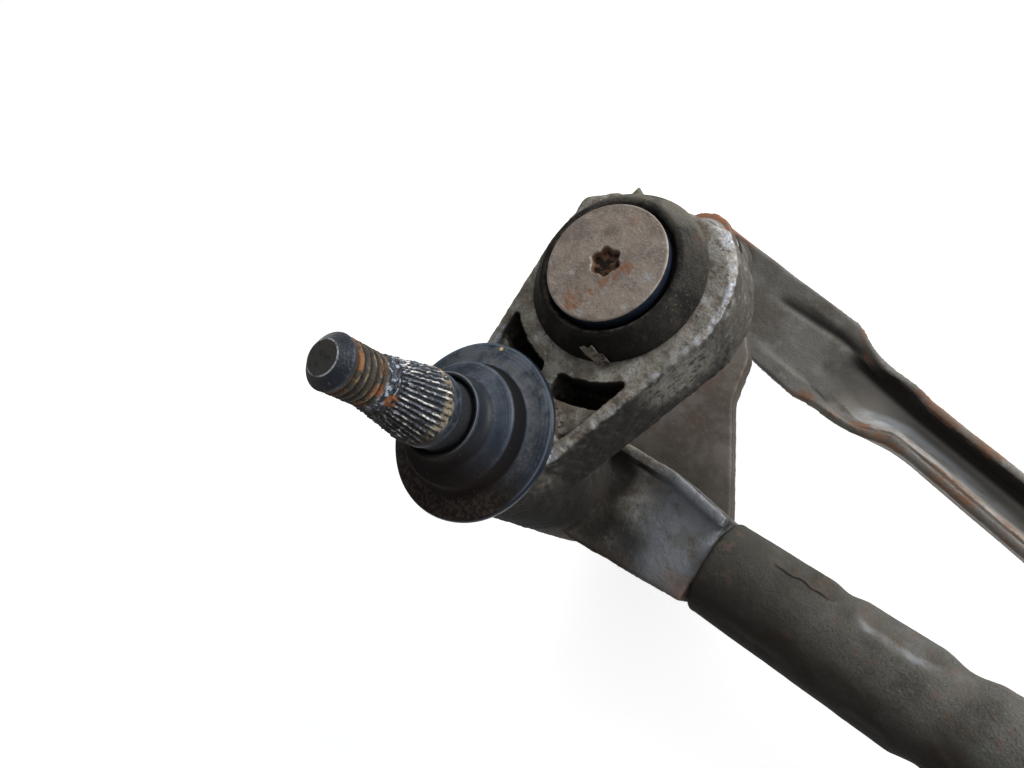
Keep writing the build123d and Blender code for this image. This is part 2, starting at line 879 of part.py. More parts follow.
# Crank arm: joggled bar, high at the output shaft and low at the pin
crank_side = Plane(
    origin=(crank_x, crank_y, 0),
    x_dir=(cos(radians(crank_angle)), sin(radians(crank_angle)), 0),
    z_dir=(sin(radians(crank_angle)), -cos(radians(crank_angle)), 0),
)
crank_plan = Plane(origin=(crank_x, crank_y, -100), x_dir=crank_side.x_dir, z_dir=(0, 0, 1))
joggle_end = crank_joggle_start + crank_joggle_run
with BuildPart() as crank_arm:
    with BuildSketch(crank_side):
        with BuildLine():
            Polyline(
                (-crank_hub_r, crank_hub_top),
                (crank_joggle_start, crank_hub_top),
                (joggle_end, lever_top),
                (crank_r + crank_end_r, lever_top),
                (crank_r + crank_end_r, lever_bottom),
                (joggle_end - 1.5, lever_bottom),
                (crank_joggle_start - 1.5, crank_hub_bottom),
                (-crank_hub_r, crank_hub_bottom),
                close=True,
            )
        make_face()
    extrude(amount=crank_hub_r, both=True)
    with BuildSketch(crank_plan):
        Circle(crank_hub_r)
        with Locations((crank_r, 0)):
            Circle(crank_end_r)
        with BuildLine():
            Polyline(
                (0, crank_hub_r),
                (crank_r, crank_end_r),
                (crank_r, -crank_end_r),
                (0, -crank_hub_r),
                close=True,
            )
        make_face()
    extrude(amount=100, mode=Mode.INTERSECT)
    with BuildSketch(crank_plan):
        Circle(output_thread_r + 0.6 + seat)
        with Locations((crank_r, 0)):
            Circle(stud_shank_r + seat)
    extrude(amount=100, mode=Mode.SUBTRACT)
save(crank_arm, "crank_arm")

# Crank nut with its washer face
nut_top = crank_hub_bottom - seat
with BuildPart() as crank_nut:
    with BuildSketch(Plane.XY.offset(nut_top)):
        with Locations((crank_x, crank_y)):
            RegularPolygon(nut_flat / 2, 6, major_radius=False)
    extrude(amount=-nut_h)
    with BuildSketch(Plane.XY.offset(nut_top)):
        with Locations((crank_x, crank_y)):
            Circle(0.62 * nut_flat)
    extrude(amount=-1.2)
    with BuildSketch(Plane.XY.offset(nut_top)):
        with Locations((crank_x, crank_y)):
            Circle(output_thread_r + seat)
    extrude(amount=-nut_h, mode=Mode.SUBTRACT)
save(crank_nut, "crank_nut")

# Output shaft: knurled seat for the wheel, bearing length, shoulder and thread for the crank
shaft_top = gear_rim_top - 1.0
wheel_hub_bottom = gear_floor_top + free
with BuildPart() as output_shaft:
    shaft_outline = (
        (0, shaft_top),
        (output_r - 0.8, shaft_top),
        (output_r, shaft_top - 0.8),
        (output_r, crank_hub_top + seat),
        (output_thread_r + 0.6, crank_hub_top + seat),
        (output_thread_r + 0.6, crank_hub_bottom),
        (output_thread_r, crank_hub_bottom),
        (output_thread_r, nut_top - nut_h - output_end),
        (0, nut_top - nut_h - output_end),
    )
    revolve(face_round(shaft_outline, crank_x, crank_y), axis=upright(crank_x, crank_y))
save(output_shaft, "output_shaft")

# Worm wheel: rim with leaning teeth, thin web, hub on the shaft
root_r = wheel_r + module - tooth_depth
tip_r = wheel_r + module
lead_angle = atan2(module, 2 * worm_r)
tooth_lean = degrees(wheel_face * tan(lead_angle) / wheel_r)


def wheel_outline(height, turn):
    """Toothed outline of the wheel, one tooth on the side that faces the worm."""
    tooth = pi * module / 2 - backlash
    flank = ((root_r, 0.80), (wheel_r, 0.5), (tip_r, 0.27))
    corners = [(radius, -share) for radius, share in flank]
    corners += [(radius, share) for radius, share in reversed(flank)]
    points = []
    for count in range(wheel_teeth):
        middle = radians(-90 + turn + 360 * count / wheel_teeth)
        for radius, share in corners:
            angle = middle + share * tooth / radius
            points.append((crank_x + radius * cos(angle), crank_y + radius * sin(angle)))
    with BuildSketch(Plane.XY.offset(height)) as outline:
        with BuildLine():
            Polyline(*points, close=True)
        make_face()
    return outline.sketch


with BuildPart() as worm_wheel:
    wheel_bottom = gear_z - wheel_face / 2
    wheel_top = gear_z + wheel_face / 2
    low_outline = wheel_outline(wheel_bottom, -tooth_lean / 2)
    high_outline = wheel_outline(wheel_top, tooth_lean / 2)
    loft([low_outline, high_outline], ruled=True)
    with BuildSketch(Plane.XY.offset(gear_z + web_t / 2), Plane.XY.offset(gear_z - web_t / 2 - wheel_face)):
        with Locations((crank_x, crank_y)):
            Circle(root_r - rim_t)
            Circle(hub_r, mode=Mode.SUBTRACT)
    extrude(amount=wheel_face, mode=Mode.SUBTRACT)
    with BuildSketch(Plane.XY.offset(wheel_hub_bottom)):
        with Locations((crank_x, crank_y)):
            Circle(hub_r)
    extrude(amount=shaft_top - 1.5 - wheel_hub_bottom)
    with BuildSketch(Plane.XY.offset(wheel_hub_bottom)):
        with Locations((crank_x, crank_y)):
            Circle(output_r + seat)
    extrude(amount=20, mode=Mode.SUBTRACT)
save(worm_wheel, "worm_wheel")

# Gear housing: wheel chamber, worm tunnel, motor flange, output boss and three ears
boss_foot = crank_hub_top + 1.0
ear_places = [
    (crank_x + ear_reach * cos(radians(a)), crank_y + ear_reach * sin(radians(a))) for a in ear_angles
]
cover_reach = gear_outer_r + 1.5
cover_places = [
    (crank_x + cover_reach * cos(radians(a)), crank_y + cover_reach * sin(radians(a)))
    for a in cover_screw_angles
]
cover_boss_r = cover_screw_r + 2.5
mouth_start = can_start - mouth_depth
mouth_r = can_r - can_wall - 1.5
with BuildPart() as gear_housing:
    with BuildSketch(Plane.XY.offset(gear_floor)):
        with Locations((crank_x, crank_y)):
            Circle(gear_outer_r)
        with Locations(*cover_places):
            Circle(cover_boss_r)
    extrude(amount=gear_rim_top - gear_floor)
    with BuildSketch(Plane.XY.offset(plate_top + seat)):
        with Locations(*ear_places):
            Circle(ear_r)
        with Locations((crank_x, crank_y)):
            for angle in ear_angles:
                with PolarLocations(ear_reach / 2, 1, start_angle=angle):
                    Rectangle(ear_reach, 2 * ear_r - 2.0)
    extrude(amount=9.0)
    revolve(
        face_lying(
            (
                (tunnel_start, 0),
                (tunnel_start, tunnel_r - 1.5),
                (tunnel_start + 1.5, tunnel_r),
                (mouth_start - 6, tunnel_r),
                (mouth_start - 2.5, mouth_r + 2.5),
                (can_start, mouth_r + 2.5),
                (can_start, 0),
            ),
            worm_y,
            gear_z,
        ),
        axis=lying(worm_y, gear_z),
    )
    with BuildSketch(Plane.YZ.offset(can_start)):
        with Locations((worm_y, gear_z)):
            Circle(can_r)
    extrude(amount=-3.0)
    with BuildSketch(Plane.XY.offset(boss_foot)):
        with Locations((crank_x, crank_y)):
            Circle(output_boss_r)
    extrude(amount=gear_floor - boss_foot + 1)
    # Wheel chamber and the bore of the output bush
    with BuildSketch(Plane.XY.offset(gear_floor_top)):
        with Locations((crank_x, crank_y)):
            Circle(gear_inner_r)
    extrude(amount=gear_rim_top - gear_floor_top, mode=Mode.SUBTRACT)
    with BuildSketch(Plane.XY.offset(boss_foot)):
        with Locations((crank_x, crank_y)):
            Circle(output_r + slip + output_bush_wall + seat)
    extrude(amount=gear_floor_top - boss_foot, mode=Mode.SUBTRACT)
    # Worm tunnel with a bearing seat at each end, and the mouth for the brush gear
    revolve(
        face_lying(
            (
                (tunnel_start + tunnel_end_t, 0),
                (tunnel_start + tunnel_end_t, bearing_r + seat),
                (tunnel_start + tunnel_end_t + bearing_len, bearing_r + seat),
                (tunnel_start + tunnel_end_t + bearing_len, tunnel_bore_r),
                (mouth_start - 2 - bearing_len, tunnel_bore_r),
                (mouth_start - 2 - bearing_len, bearing_r + seat),
                (mouth_start, bearing_r + seat),
                (mouth_start, mouth_r),
                (can_start, mouth_r),
                (can_start, 0),
            ),
            worm_y,
            gear_z,
        ),
        axis=lying(worm_y, gear_z),
        mode=Mode.SUBTRACT,
    )
    # Screw holes: ears from below, cover bosses from above
    with BuildSketch(Plane.XY.offset(plate_top + seat)):
        with Locations(*ear_places):
            Circle(ear_screw_r + seat)
    extrude(amount=ear_screw_len - plate_t + 1, mode=Mode.SUBTRACT)
    with BuildSketch(Plane.XY.offset(gear_rim_top)):
        with Locations(*cover_places):
            Circle(cover_screw_r + seat)
    extrude(amount=-1.2 * cover_screw_depth, mode=Mode.SUBTRACT)
save(gear_housing, "gear_housing")

# Gear cover with the connector socket moulded on it
cover_bottom = gear_rim_top + seat
cover_top = cover_bottom + cover_t
plug_mouth_x = crank_x - gear_outer_r - plug_reach
plug_z = cover_top + plug_h / 2 - 0.5
with BuildPart() as gear_cover:
    with BuildSketch(Plane.XY.offset(cover_bottom)):
        with Locations((crank_x, crank_y)):
            Circle(gear_outer_r)
        with Locations(*cover_places):
            Circle(cover_boss_r)
    extrude(amount=cover_t)
    # Stiffening ring and the socket
    with BuildSketch(Plane.XY.offset(cover_top)):
        with Locations((crank_x, crank_y)):
            Circle(gear_inner_r - 3)
            Circle(gear_inner_r - 4.5, mode=Mode.SUBTRACT)
            Circle(hub_r)
            Circle(hub_r - 1.5, mode=Mode.SUBTRACT)
    extrude(amount=1.2)
    with BuildSketch(Plane.YZ.offset(plug_mouth_x)):
        with Locations((crank_y, plug_z)):
            RectangleRounded(plug_w, plug_h, 2)
    extrude(amount=plug_len + 6)
    with BuildSketch(Plane.YZ.offset(plug_mouth_x)):
        with Locations((crank_y, plug_z)):
            RectangleRounded(plug_w - 2 * plug_wall, plug_h - 2 * plug_wall, 1)
    extrude(amount=plug_len, mode=Mode.SUBTRACT)
    with BuildSketch(Plane.XY.offset(cover_bottom)):
        with Locations(*cover_places):
            Circle(cover_screw_r + screw_hole_gap)
    extrude(amount=cover_t, mode=Mode.SUBTRACT)
save(gear_cover, "gear_cover")

# Blade contacts of the connector, their feet in the moulding
with BuildPart() as connector_pins:
    pin_start = plug_mouth_x + 6.0
    pin_foot = plug_mouth_x + plug_len - seat
    with BuildSketch(Plane.YZ.offset(pin_start)):
        with Locations((crank_y, plug_z)):
            with GridLocations((plug_w - 2 * plug_wall - 2) / pin_count, 0, pin_count, 1):
                Rectangle(pin_w, pin_t)
    extrude(amount=pin_foot - pin_start)
save(connector_pins, "connector_pins")


def screw_at(places, under_head, shank_r, shank_len, up):
    """Pan-headed screws that share one node; up is 1 when the head is above."""
    with BuildPart() as screws:
        with BuildSketch(Plane.XY.offset(under_head + up * seat)):
            with Locations(*places):
                Circle(1.9 * shank_r)
        extrude(amount=up * 0.9 * shank_r)
        with BuildSketch(Plane.XY.offset(under_head + up * seat)):
            with Locations(*places):
                Circle(shank_r)
        extrude(amount=-up * shank_len)
    return screws


cover_screw_len = cover_t + cover_screw_depth
cover_screws = screw_at(cover_places, cover_top, cover_screw_r, cover_screw_len, 1)
save(cover_screws, "cover_screws")
housing_screws = screw_at(ear_places, plate_top - plate_t, ear_screw_r, ear_screw_len, -1)
save(housing_screws, "housing_screws")

make_ring(
    crank_x,
    crank_y,
    output_r + slip,
    output_r + slip + output_bush_wall,
    boss_foot,
    gear_floor_top - boss_foot,
    "output_bush",
)

# Bracket: saddle on the tube, plate under the gear housing, foot for the third mounting
with BuildPart() as motor_bracket:
    with BuildSketch(Plane.XY.offset(plate_top)):
        with BuildLine():
            Polyline(
                (crank_x - plate_half, tube_y - tube_r - 1.0),
                (crank_x + plate_half, tube_y - tube_r - 1.0),
                ear_places[0],
                ear_places[2],
                (crank_x + 16, worm_y - 6),
                (foot_x, foot_y),
                (crank_x - 30, worm_y + 6),
                ear_places[1],
                close=True,
            )
        make_face()
        with Locations(*ear_places):
            Circle(ear_r + 1.5)
        with Locations((foot_x, foot_y)):
            Circle(foot_r)
    extrude(amount=-plate_t)
    with BuildSketch(Plane.YZ.offset(crank_x - saddle_len / 2)):
        with Locations((tube_y, tube_z)):
            Circle(tube_r + seat + saddle_t)
            Circle(tube_r + seat, mode=Mode.SUBTRACT)
        with Locations((tube_y + 50, tube_z), (tube_y, tube_z - 54)):
            Rectangle(100, 100, mode=Mode.SUBTRACT)
    extrude(amount=saddle_len)
    with BuildSketch(Plane.XY.offset(plate_top)):
        with Locations((crank_x, crank_y)):
            Circle(output_boss_r + 0.5)
        with Locations(*ear_places):
            Circle(ear_screw_r + screw_hole_gap)
        with Locations((foot_x, foot_y)):
            Circle(foot_bore_r)
    extrude(amount=-plate_t, mode=Mode.SUBTRACT)
save(motor_bracket, "motor_bracket")

make_grommet(
    foot_x,
    foot_y,
    plate_top,
    plate_t,
    foot_grommet_r,
    foot_bore_r,
    sleeve_r + 1.0,
    foot_dome,
    "foot_grommet",
)
foot_sleeve_bottom = plate_top - plate_t - grommet_foot
make_ring(
    foot_x,
    foot_y,
    screw_r + screw_hole_gap,
    sleeve_r,
    foot_sleeve_bottom,
    plate_top + foot_dome - foot_sleeve_bottom,
    "foot_sleeve",
)

# Armature: shaft with the worm cut on it, slotted core, windings and commutator
shaft_start = tunnel_start + tunnel_end_t + free
shaft_end = can_end - can_wall - 1.0
worm_root_r = worm_r - tooth_depth + module
worm_start = crank_x - worm_len / 2
lead = pi * module
with BuildPart() as armature_shaft:
    revolve(
        face_lying(
            (
                (shaft_start, 0),
                (shaft_start, shaft_r - 0.5),
                (shaft_start + 0.5, shaft_r),
                (worm_start - 5, shaft_r),
                (worm_start - 3, worm_root_r),
                (crank_x + worm_len / 2 + 3, worm_root_r),
                (crank_x + worm_len / 2 + 5, shaft_r),
                (shaft_end - 0.5, shaft_r),
                (shaft_end, shaft_r - 0.5),
                (shaft_end, 0),
            ),
            worm_y,
            gear_z,
        ),
        axis=lying(worm_y, gear_z),
    )
    # The thread leaves from the top and reaches the wheel's side three quarters of a turn later,
    # where it stands half a pitch from the tooth
    turns = int(worm_len / lead)
    thread_start = crank_x + lead / 2 - 0.75 * lead - lead * (turns // 2)
    thread_w = lead / 2 - backlash
    with BuildLine():
        helix = Helix(
            pitch=lead,
            height=turns * lead,
            radius=worm_root_r,
            center=(thread_start, worm_y, gear_z),
            direction=(1, 0, 0),
        )
    outward = (helix @ 0) - Vector(thread_start, worm_y, gear_z)
    thread_plane = Plane(origin=helix @ 0, x_dir=outward, z_dir=helix % 0)
    with BuildSketch(thread_plane):
        with BuildLine():
            Polyline(
                (-0.4, -0.86 * thread_w),
                (tooth_depth - module, -thread_w / 2),
                (tooth_depth - 0.25, -0.27 * thread_w),
                (tooth_depth - 0.25, 0.27 * thread_w),
                (tooth_depth - module, thread_w / 2),
                (-0.4, 0.86 * thread_w),
                close=True,
            )
        make_face()
    sweep(path=helix, is_frenet=True)
save(armature_shaft, "armature_shaft")

with BuildPart() as armature_core:
    with BuildSketch(Plane.YZ.offset(core_start)):
        with Locations((worm_y, gear_z)):
            Circle(core_r)
            Circle(shaft_r + seat, mode=Mode.SUBTRACT)
            with PolarLocations(core_r - slot_depth / 2, slots):
                Rectangle(slot_depth, slot_w, mode=Mode.SUBTRACT)
    extrude(amount=core_len)
save(armature_core, "armature_core")

# Windings: a ring of wire at each end of the core
winding_r = core_r - 2.5
with BuildPart() as armature_windings:
    for ring_start in (core_start - winding_over - seat, core_start + core_len + seat):
        with BuildSketch(Plane.YZ.offset(ring_start)):
            with Locations((worm_y, gear_z)):
                Circle(winding_r)
                Circle(shaft_r + 1.5, mode=Mode.SUBTRACT)
        extrude(amount=winding_over)
    rims = armature_windings.edges().filter_by(GeomType.CIRCLE).filter_by(lambda e: e.radius > winding_r - 1)
    chamfer(rims, 1.6)
save(armature_windings, "armature_windings")

commutator_start = can_start + 5.0
with BuildPart() as commutator:
    with BuildSketch(Plane.YZ.offset(commutator_start)):
        with Locations((worm_y, gear_z)):
            Circle(commutator_r)
            Circle(shaft_r + seat, mode=Mode.SUBTRACT)
            with PolarLocations(commutator_r, slots):
                Rectangle(1.2, 0.5, mode=Mode.SUBTRACT)
    extrude(amount=commutator_len)
save(commutator, "commutator")


# Sintered bearings of the armature
def make_lying_ring(start, length, outer_r, name):
    with BuildPart() as ring:
        with BuildSketch(Plane.YZ.offset(start)):
            with Locations((worm_y, gear_z)):
                Circle(outer_r)
                Circle(shaft_r + slip, mode=Mode.SUBTRACT)
        extrude(amount=length)
    save(ring, name)


make_lying_ring(tunnel_start + tunnel_end_t + seat, bearing_len, bearing_r, "front_bearing")
make_lying_ring(mouth_start - 2 - bearing_len + seat, bearing_len, bearing_r, "middle_bearing")
make_lying_ring(can_end - can_wall - bearing_len - seat - 0.5, bearing_len, bearing_r, "rear_bearing")

# Motor can: deep-drawn cup with a rolled mouth and a bearing seat in its end
with BuildPart() as motor_can:
    seat_start = can_end - can_wall - bearing_len - 0.5
    revolve(
        face_lying(
            (
                (can_start + seat, can_r - can_wall),
                (can_start + seat, can_r + 2.0),
                (can_start + 1.6, can_r + 2.0),
                (can_start + 1.6, can_r),
                (can_end - 14, can_r),
                (can_end - 10, can_r - 4),
                (can_end - 9, bearing_r + 6),
                (can_end - 2, bearing_r + 3),
                (can_end, bearing_r + 1),
                (can_end, 0),
                (can_end - can_wall, 0),
                (can_end - can_wall, bearing_r + seat),
                (seat_start, bearing_r + seat),
                (seat_start, bearing_r + 4),
                (can_end - 9 - can_wall, bearing_r + 5),
                (can_end - 10 - can_wall, can_r - 5),
                (can_end - 14 - can_wall, can_r - can_wall),
            ),
            worm_y,
            gear_z,
        ),
        axis=lying(worm_y, gear_z),
    )
save(motor_can, "motor_can")

# Pair of magnet shells inside the can
with BuildPart() as magnets:
    with BuildSketch(Plane.YZ.offset(core_start - 3)):
        with Locations((worm_y, gear_z)):
            Circle(can_r - can_wall - seat)
            Circle(core_r + magnet_gap, mode=Mode.SUBTRACT)
            with PolarLocations(can_r / 2, 2):
                Rectangle(2 * can_r, 2 * can_r * sin(radians(90 - magnet_arc / 2)), mode=Mode.SUBTRACT)
    extrude(amount=magnet_len)
save(magnets, "magnets")

# Brush plate in the mouth of the housing, with two carbon brushes on the commutator
brush_x = commutator_start + commutator_len / 2
with BuildPart() as brush_plate:
    with BuildSketch(Plane.YZ.offset(can_start - brush_plate_t)):
        with Locations((worm_y, gear_z)):
            Circle(mouth_r - seat)
            Circle(commutator_r + 1.5, mode=Mode.SUBTRACT)
    extrude(amount=brush_plate_t)
    # Guide boxes of the brushes
    with BuildSketch(Plane.YZ.offset(can_start)):
        with Locations((worm_y, gear_z)):
            with PolarLocations(guide_reach, 2, start_angle=90):
                Rectangle(guide_len, brush_w + 3)
    extrude(amount=brush_x + brush_h / 2 + 1.5 - can_start)
    with BuildSketch(Plane.YZ.offset(brush_x - brush_h / 2 - seat)):
        with Locations((worm_y, gear_z)):
            with PolarLocations(guide_reach, 2, start_angle=90):
                Rectangle(guide_len + 2, brush_w + 2 * seat)
    extrude(amount=brush_h + 2 * seat, mode=Mode.SUBTRACT)
save(brush_plate, "brush_plate")

with BuildPart() as brushes:
    with BuildSketch(Plane.YZ.offset(brush_x - brush_h / 2)):
        with Locations((worm_y, gear_z)):
            with PolarLocations(commutator_r + 0.1 + brush_len / 2, 2, start_angle=90):
                Rectangle(brush_len, brush_w)
    extrude(amount=brush_h)
save(brushes, "brushes")
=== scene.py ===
import json
from math import atan2, cos, degrees, pi, radians, sin, sqrt

import bmesh
import bpy
import numpy as np
from mathutils import Matrix, Vector, noise

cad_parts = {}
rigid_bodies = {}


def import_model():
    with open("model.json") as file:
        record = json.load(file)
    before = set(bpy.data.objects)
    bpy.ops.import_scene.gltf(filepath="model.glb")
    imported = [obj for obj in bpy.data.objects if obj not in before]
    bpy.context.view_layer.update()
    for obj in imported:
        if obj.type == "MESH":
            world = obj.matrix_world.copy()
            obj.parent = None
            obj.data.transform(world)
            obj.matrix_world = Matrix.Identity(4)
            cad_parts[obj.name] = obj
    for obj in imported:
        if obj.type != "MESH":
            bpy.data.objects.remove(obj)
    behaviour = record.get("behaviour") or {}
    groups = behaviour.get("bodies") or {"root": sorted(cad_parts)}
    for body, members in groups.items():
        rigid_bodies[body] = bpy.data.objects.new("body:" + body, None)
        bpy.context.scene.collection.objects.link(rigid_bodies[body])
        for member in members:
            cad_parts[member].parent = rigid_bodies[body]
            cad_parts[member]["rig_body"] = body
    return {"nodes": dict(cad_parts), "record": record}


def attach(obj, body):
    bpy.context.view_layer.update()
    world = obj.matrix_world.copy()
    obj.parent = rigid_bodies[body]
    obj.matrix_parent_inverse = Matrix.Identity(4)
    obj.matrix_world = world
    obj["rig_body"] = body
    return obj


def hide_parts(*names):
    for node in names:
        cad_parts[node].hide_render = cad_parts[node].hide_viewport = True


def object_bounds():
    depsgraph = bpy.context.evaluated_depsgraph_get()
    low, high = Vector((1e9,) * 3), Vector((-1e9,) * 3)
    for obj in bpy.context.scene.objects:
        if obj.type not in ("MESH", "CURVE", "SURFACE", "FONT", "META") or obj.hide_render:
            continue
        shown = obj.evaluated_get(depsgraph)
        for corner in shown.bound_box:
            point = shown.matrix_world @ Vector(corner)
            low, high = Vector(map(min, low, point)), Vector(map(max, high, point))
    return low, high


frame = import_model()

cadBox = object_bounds()
nodes = frame["nodes"]
scene = bpy.context.scene
mm = 0.001
# places of the spindles and the mounting eyes, in mm
spindleX = {"a": 0.0, "b": 500.0}
middleX = 250.0
eyeX = {"a": 5.35, "b": 494.65}
eyeY = 34.4
# steps of a rounded corner, and how close points of the CAD skin are joined, in m
bendSteps = 4
weldGap = 2e-6
print("frame loaded:", len(nodes), "parts")


def smoothStep(low, high, value):
    share = min(1.0, max(0.0, (value - low) / (high - low)))
    return share * share * (3 - 2 * share)


def between(value, start, full, fading, end):
    # 1 from full to fading, falling softly to 0 at start and end
    return smoothStep(start, full, value) * smoothStep(end, fading, value)


def bump(value, centre, half):
    # 1 at the centre, falling softly to 0 at half a width away
    return smoothStep(1.0, 0.0, abs(value - centre) / half)


def waveAt(x, y, z):
    return noise.noise(Vector((x, y, z)))


def curveAt(value, curve):
    return float(np.interp(value, *curve))


def setMarks(mesh, marks):
    mesh.polygons.foreach_set("use_smooth", [True] * len(mesh.polygons))
    for mark, values in marks.items():
        mesh.attributes.new(mark, "FLOAT", "POINT").data.foreach_set("value", values)


def makePiece(name, verts, faces, body, finish, stands=(), marks=None):
    mesh = bpy.data.meshes.new(name)
    mesh.from_pydata([tuple(v) for v in verts], [], faces)
    setMarks(mesh, marks or {})
    piece = bpy.data.objects.new(name, mesh)
    scene.collection.objects.link(piece)
    settle(piece, body, finish, stands)


def settle(piece, body, finish, stands):
    piece.data.materials.clear()
    piece.data.materials.append(finish)
    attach(piece, body)
    if stands:
        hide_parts(*stands)


def roundedLine(points, closed=False):
    # points are (radius, height) or (radius, height, rounding) in mm
    corners = [(Vector(p[:2]), p[2] if len(p) > 2 else 0.0) for p in points]
    line = []
    for index, (corner, rounding) in enumerate(corners):
        first, last = index == 0, index == len(corners) - 1
        if rounding <= 0 or (not closed and (first or last)):
            line.append(corner)
            continue
        before = corners[index - 1][0]
        after = corners[(index + 1) % len(corners)][0]
        # a rounding takes less than half of either side
        reach = min(rounding, *((side - corner).length * 0.49 for side in (before, after)))
        start = corner + (before - corner).normalized() * reach
        end = corner + (after - corner).normalized() * reach
        for step in range(bendSteps + 1):
            t = step / bendSteps
            line.append(start * (1 - t) ** 2 + corner * 2 * t * (1 - t) + end * t * t)
    return line


def divided(line, longest, closed=False):
    fine = []
    pairs = list(zip(line, line[1:])) + ([(line[-1], line[0])] if closed else [])
    for start, end in pairs:
        # rounded up, but for a length that fits almost exactly
        count = max(1, int((end - start).length / longest + 0.999))
        fine += [start.lerp(end, step / count) for step in range(count)]
    return fine if closed else fine + [line[-1]]


def turned(line, steps, centre=(0.0, 0.0), shape=None, closed=False):
    # the line runs down the outside; shape(angle, radius, height) may move a point and mark it
    verts, rows, marks = [], [], {"reach": [], "wear": []}
    for radius, height in line:
        row = []
        for step in range(1 if radius < 1e-6 else steps):
            angle = 2 * pi * step / steps
            spot = shape(angle, radius, height) if shape else (radius, height, 0.0)
            row.append(len(verts))
            x = centre[0] + spot[0] * cos(angle)
            y = centre[1] + spot[0] * sin(angle)
            verts.append((x * mm, y * mm, spot[1] * mm))
            marks["reach"].append(radius)
            marks["wear"].append(spot[2])
        rows.append(row)
    if closed:
        rows.append(rows[0])
    faces = []
    for upper, lower in zip(rows, rows[1:]):
        for step in range(steps):
            after = (step + 1) % steps
            ring = [upper[step % len(upper)], lower[step % len(lower)]]
            ring += [lower[after % len(lower)], upper[after % len(upper)]]
            faces.append(tuple(dict.fromkeys(ring)))
    return verts, faces, marks


def softened(node, name, voxel, rounds, finish, moveSkin):
    # a copy of the part's skin with its edges worn round, then dented or pitted
    piece = bpy.data.objects.new(name, nodes[node].data.copy())
    scene.collection.objects.link(piece)
    work = bmesh.new()
    work.from_mesh(piece.data)
    bmesh.ops.remove_doubles(work, verts=work.verts, dist=weldGap)
    work.to_mesh(piece.data)
    work.free()
    skin = piece.modifiers.new("skin", "REMESH")
    skin.mode = "VOXEL"
    skin.voxel_size = voxel * mm
    ease = piece.modifiers.new("ease", "SMOOTH")
    ease.factor = 0.5
    ease.iterations = rounds
    bpy.context.view_layer.update()
    worked = piece.evaluated_get(bpy.context.evaluated_depsgraph_get())
    shaped = bpy.data.meshes.new_from_object(worked)
    piece.modifiers.clear()
    rough = piece.data
    piece.data = shaped
    bpy.data.meshes.remove(rough)
    count = len(shaped.vertices)
    spots, sides = np.zeros(count * 3), np.zeros(count * 3)
    shaped.vertices.foreach_get("co", spots)
    shaped.vertex_normals.foreach_get("vector", sides)
    spots = spots.reshape(-1, 3) / mm
    sides = sides.reshape(-1, 3)
    marks = {}
    for index in range(count):
        move, wear = moveSkin(Vector(spots[index]), Vector(sides[index]))
        spots[index] += move
        for mark, value in wear.items():
            marks.setdefault(mark, np.zeros(count))[index] = value
    shaped.vertices.foreach_set("co", (spots * mm).ravel())
    setMarks(shaped, marks)
    settle(piece, nodes[node]["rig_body"], finish, [node])


def paint(red, green, blue):
    def linear(value):
        value /= 255
        return value / 12.92 if value <= 0.04045 else ((value + 0.055) / 1.055) ** 2.4

    return (linear(red), linear(green), linear(blue), 1.0)


def wire(tree, source, target):
    if isinstance(source, bpy.types.NodeSocket):
        tree.links.new(source, target)
    else:
        target.default_value = source


def addNode(tree, kind, inputs=(), **settings):
    # a shader node with its settings, and its inputs wired or set
    node = tree.nodes.new("ShaderNode" + kind)
    for key, value in settings.items():
        setattr(node, key, value)
    for key, value in dict(inputs).items():
        wire(tree, value, node.inputs[key])
    return node


def maskField(tree, coords, layer):
    kind = layer["kind"]
    if kind == "edge":
        source = addNode(tree, "NewGeometry").outputs["Pointiness"]
    elif kind == "mark":
        source = addNode(tree, "Attribute", attribute_name=layer["mark"]).outputs["Fac"]
    elif kind == "height":
        split = addNode(tree, "SeparateXYZ", {0: coords})
        source = split.outputs["XYZ".index(layer["axis"])]
    elif kind == "facing":
        # how far the skin faces a way of the part's own frame
        normal = addNode(tree, "TexCoord").outputs["Normal"]
        ends = {0: normal, 1: Vector(layer["way"]).normalized()}
        source = addNode(tree, "VectorMath", ends, operation="DOT_PRODUCT").outputs["Value"]
    elif kind == "spot":
        # distance in mm from one place on the part
        ends = {0: coords, 1: Vector(layer["place"]) * mm}
        metres = addNode(tree, "VectorMath", ends, operation="DISTANCE").outputs["Value"]
        source = addNode(tree, "Math", {0: metres, 1: mm}, operation="DIVIDE").outputs[0]
    else:
        place = coords
        if "stretch" in layer or "shift" in layer:
            scale, shift = layer.get("stretch", (1, 1, 1)), layer.get("shift", (0, 0, 0))
            ends = {"Vector": coords, "Scale": scale, "Location": shift}
            place = addNode(tree, "Mapping", ends).outputs[0]
        grit = layer.get("grit", 0.6)
        ends = {"Vector": place, "Scale": layer["scale"], "Detail": 6, "Roughness": grit}
        source = addNode(tree, "TexNoise", ends).outputs["Fac"]
    limits = {"Value": source, "From Min": layer["low"], "From Max": layer["high"]}
    limits["To Max"] = layer.get("amount", 1.0)
    mask = addNode(tree, "MapRange", limits, interpolation_type="SMOOTHSTEP").outputs["Result"]
    for other in layer.get("within", ()):
        pair = {0: mask, 1: maskField(tree, coords, other)}
        mask = addNode(tree, "Math", pair, operation="MULTIPLY").outputs[0]
    return mask


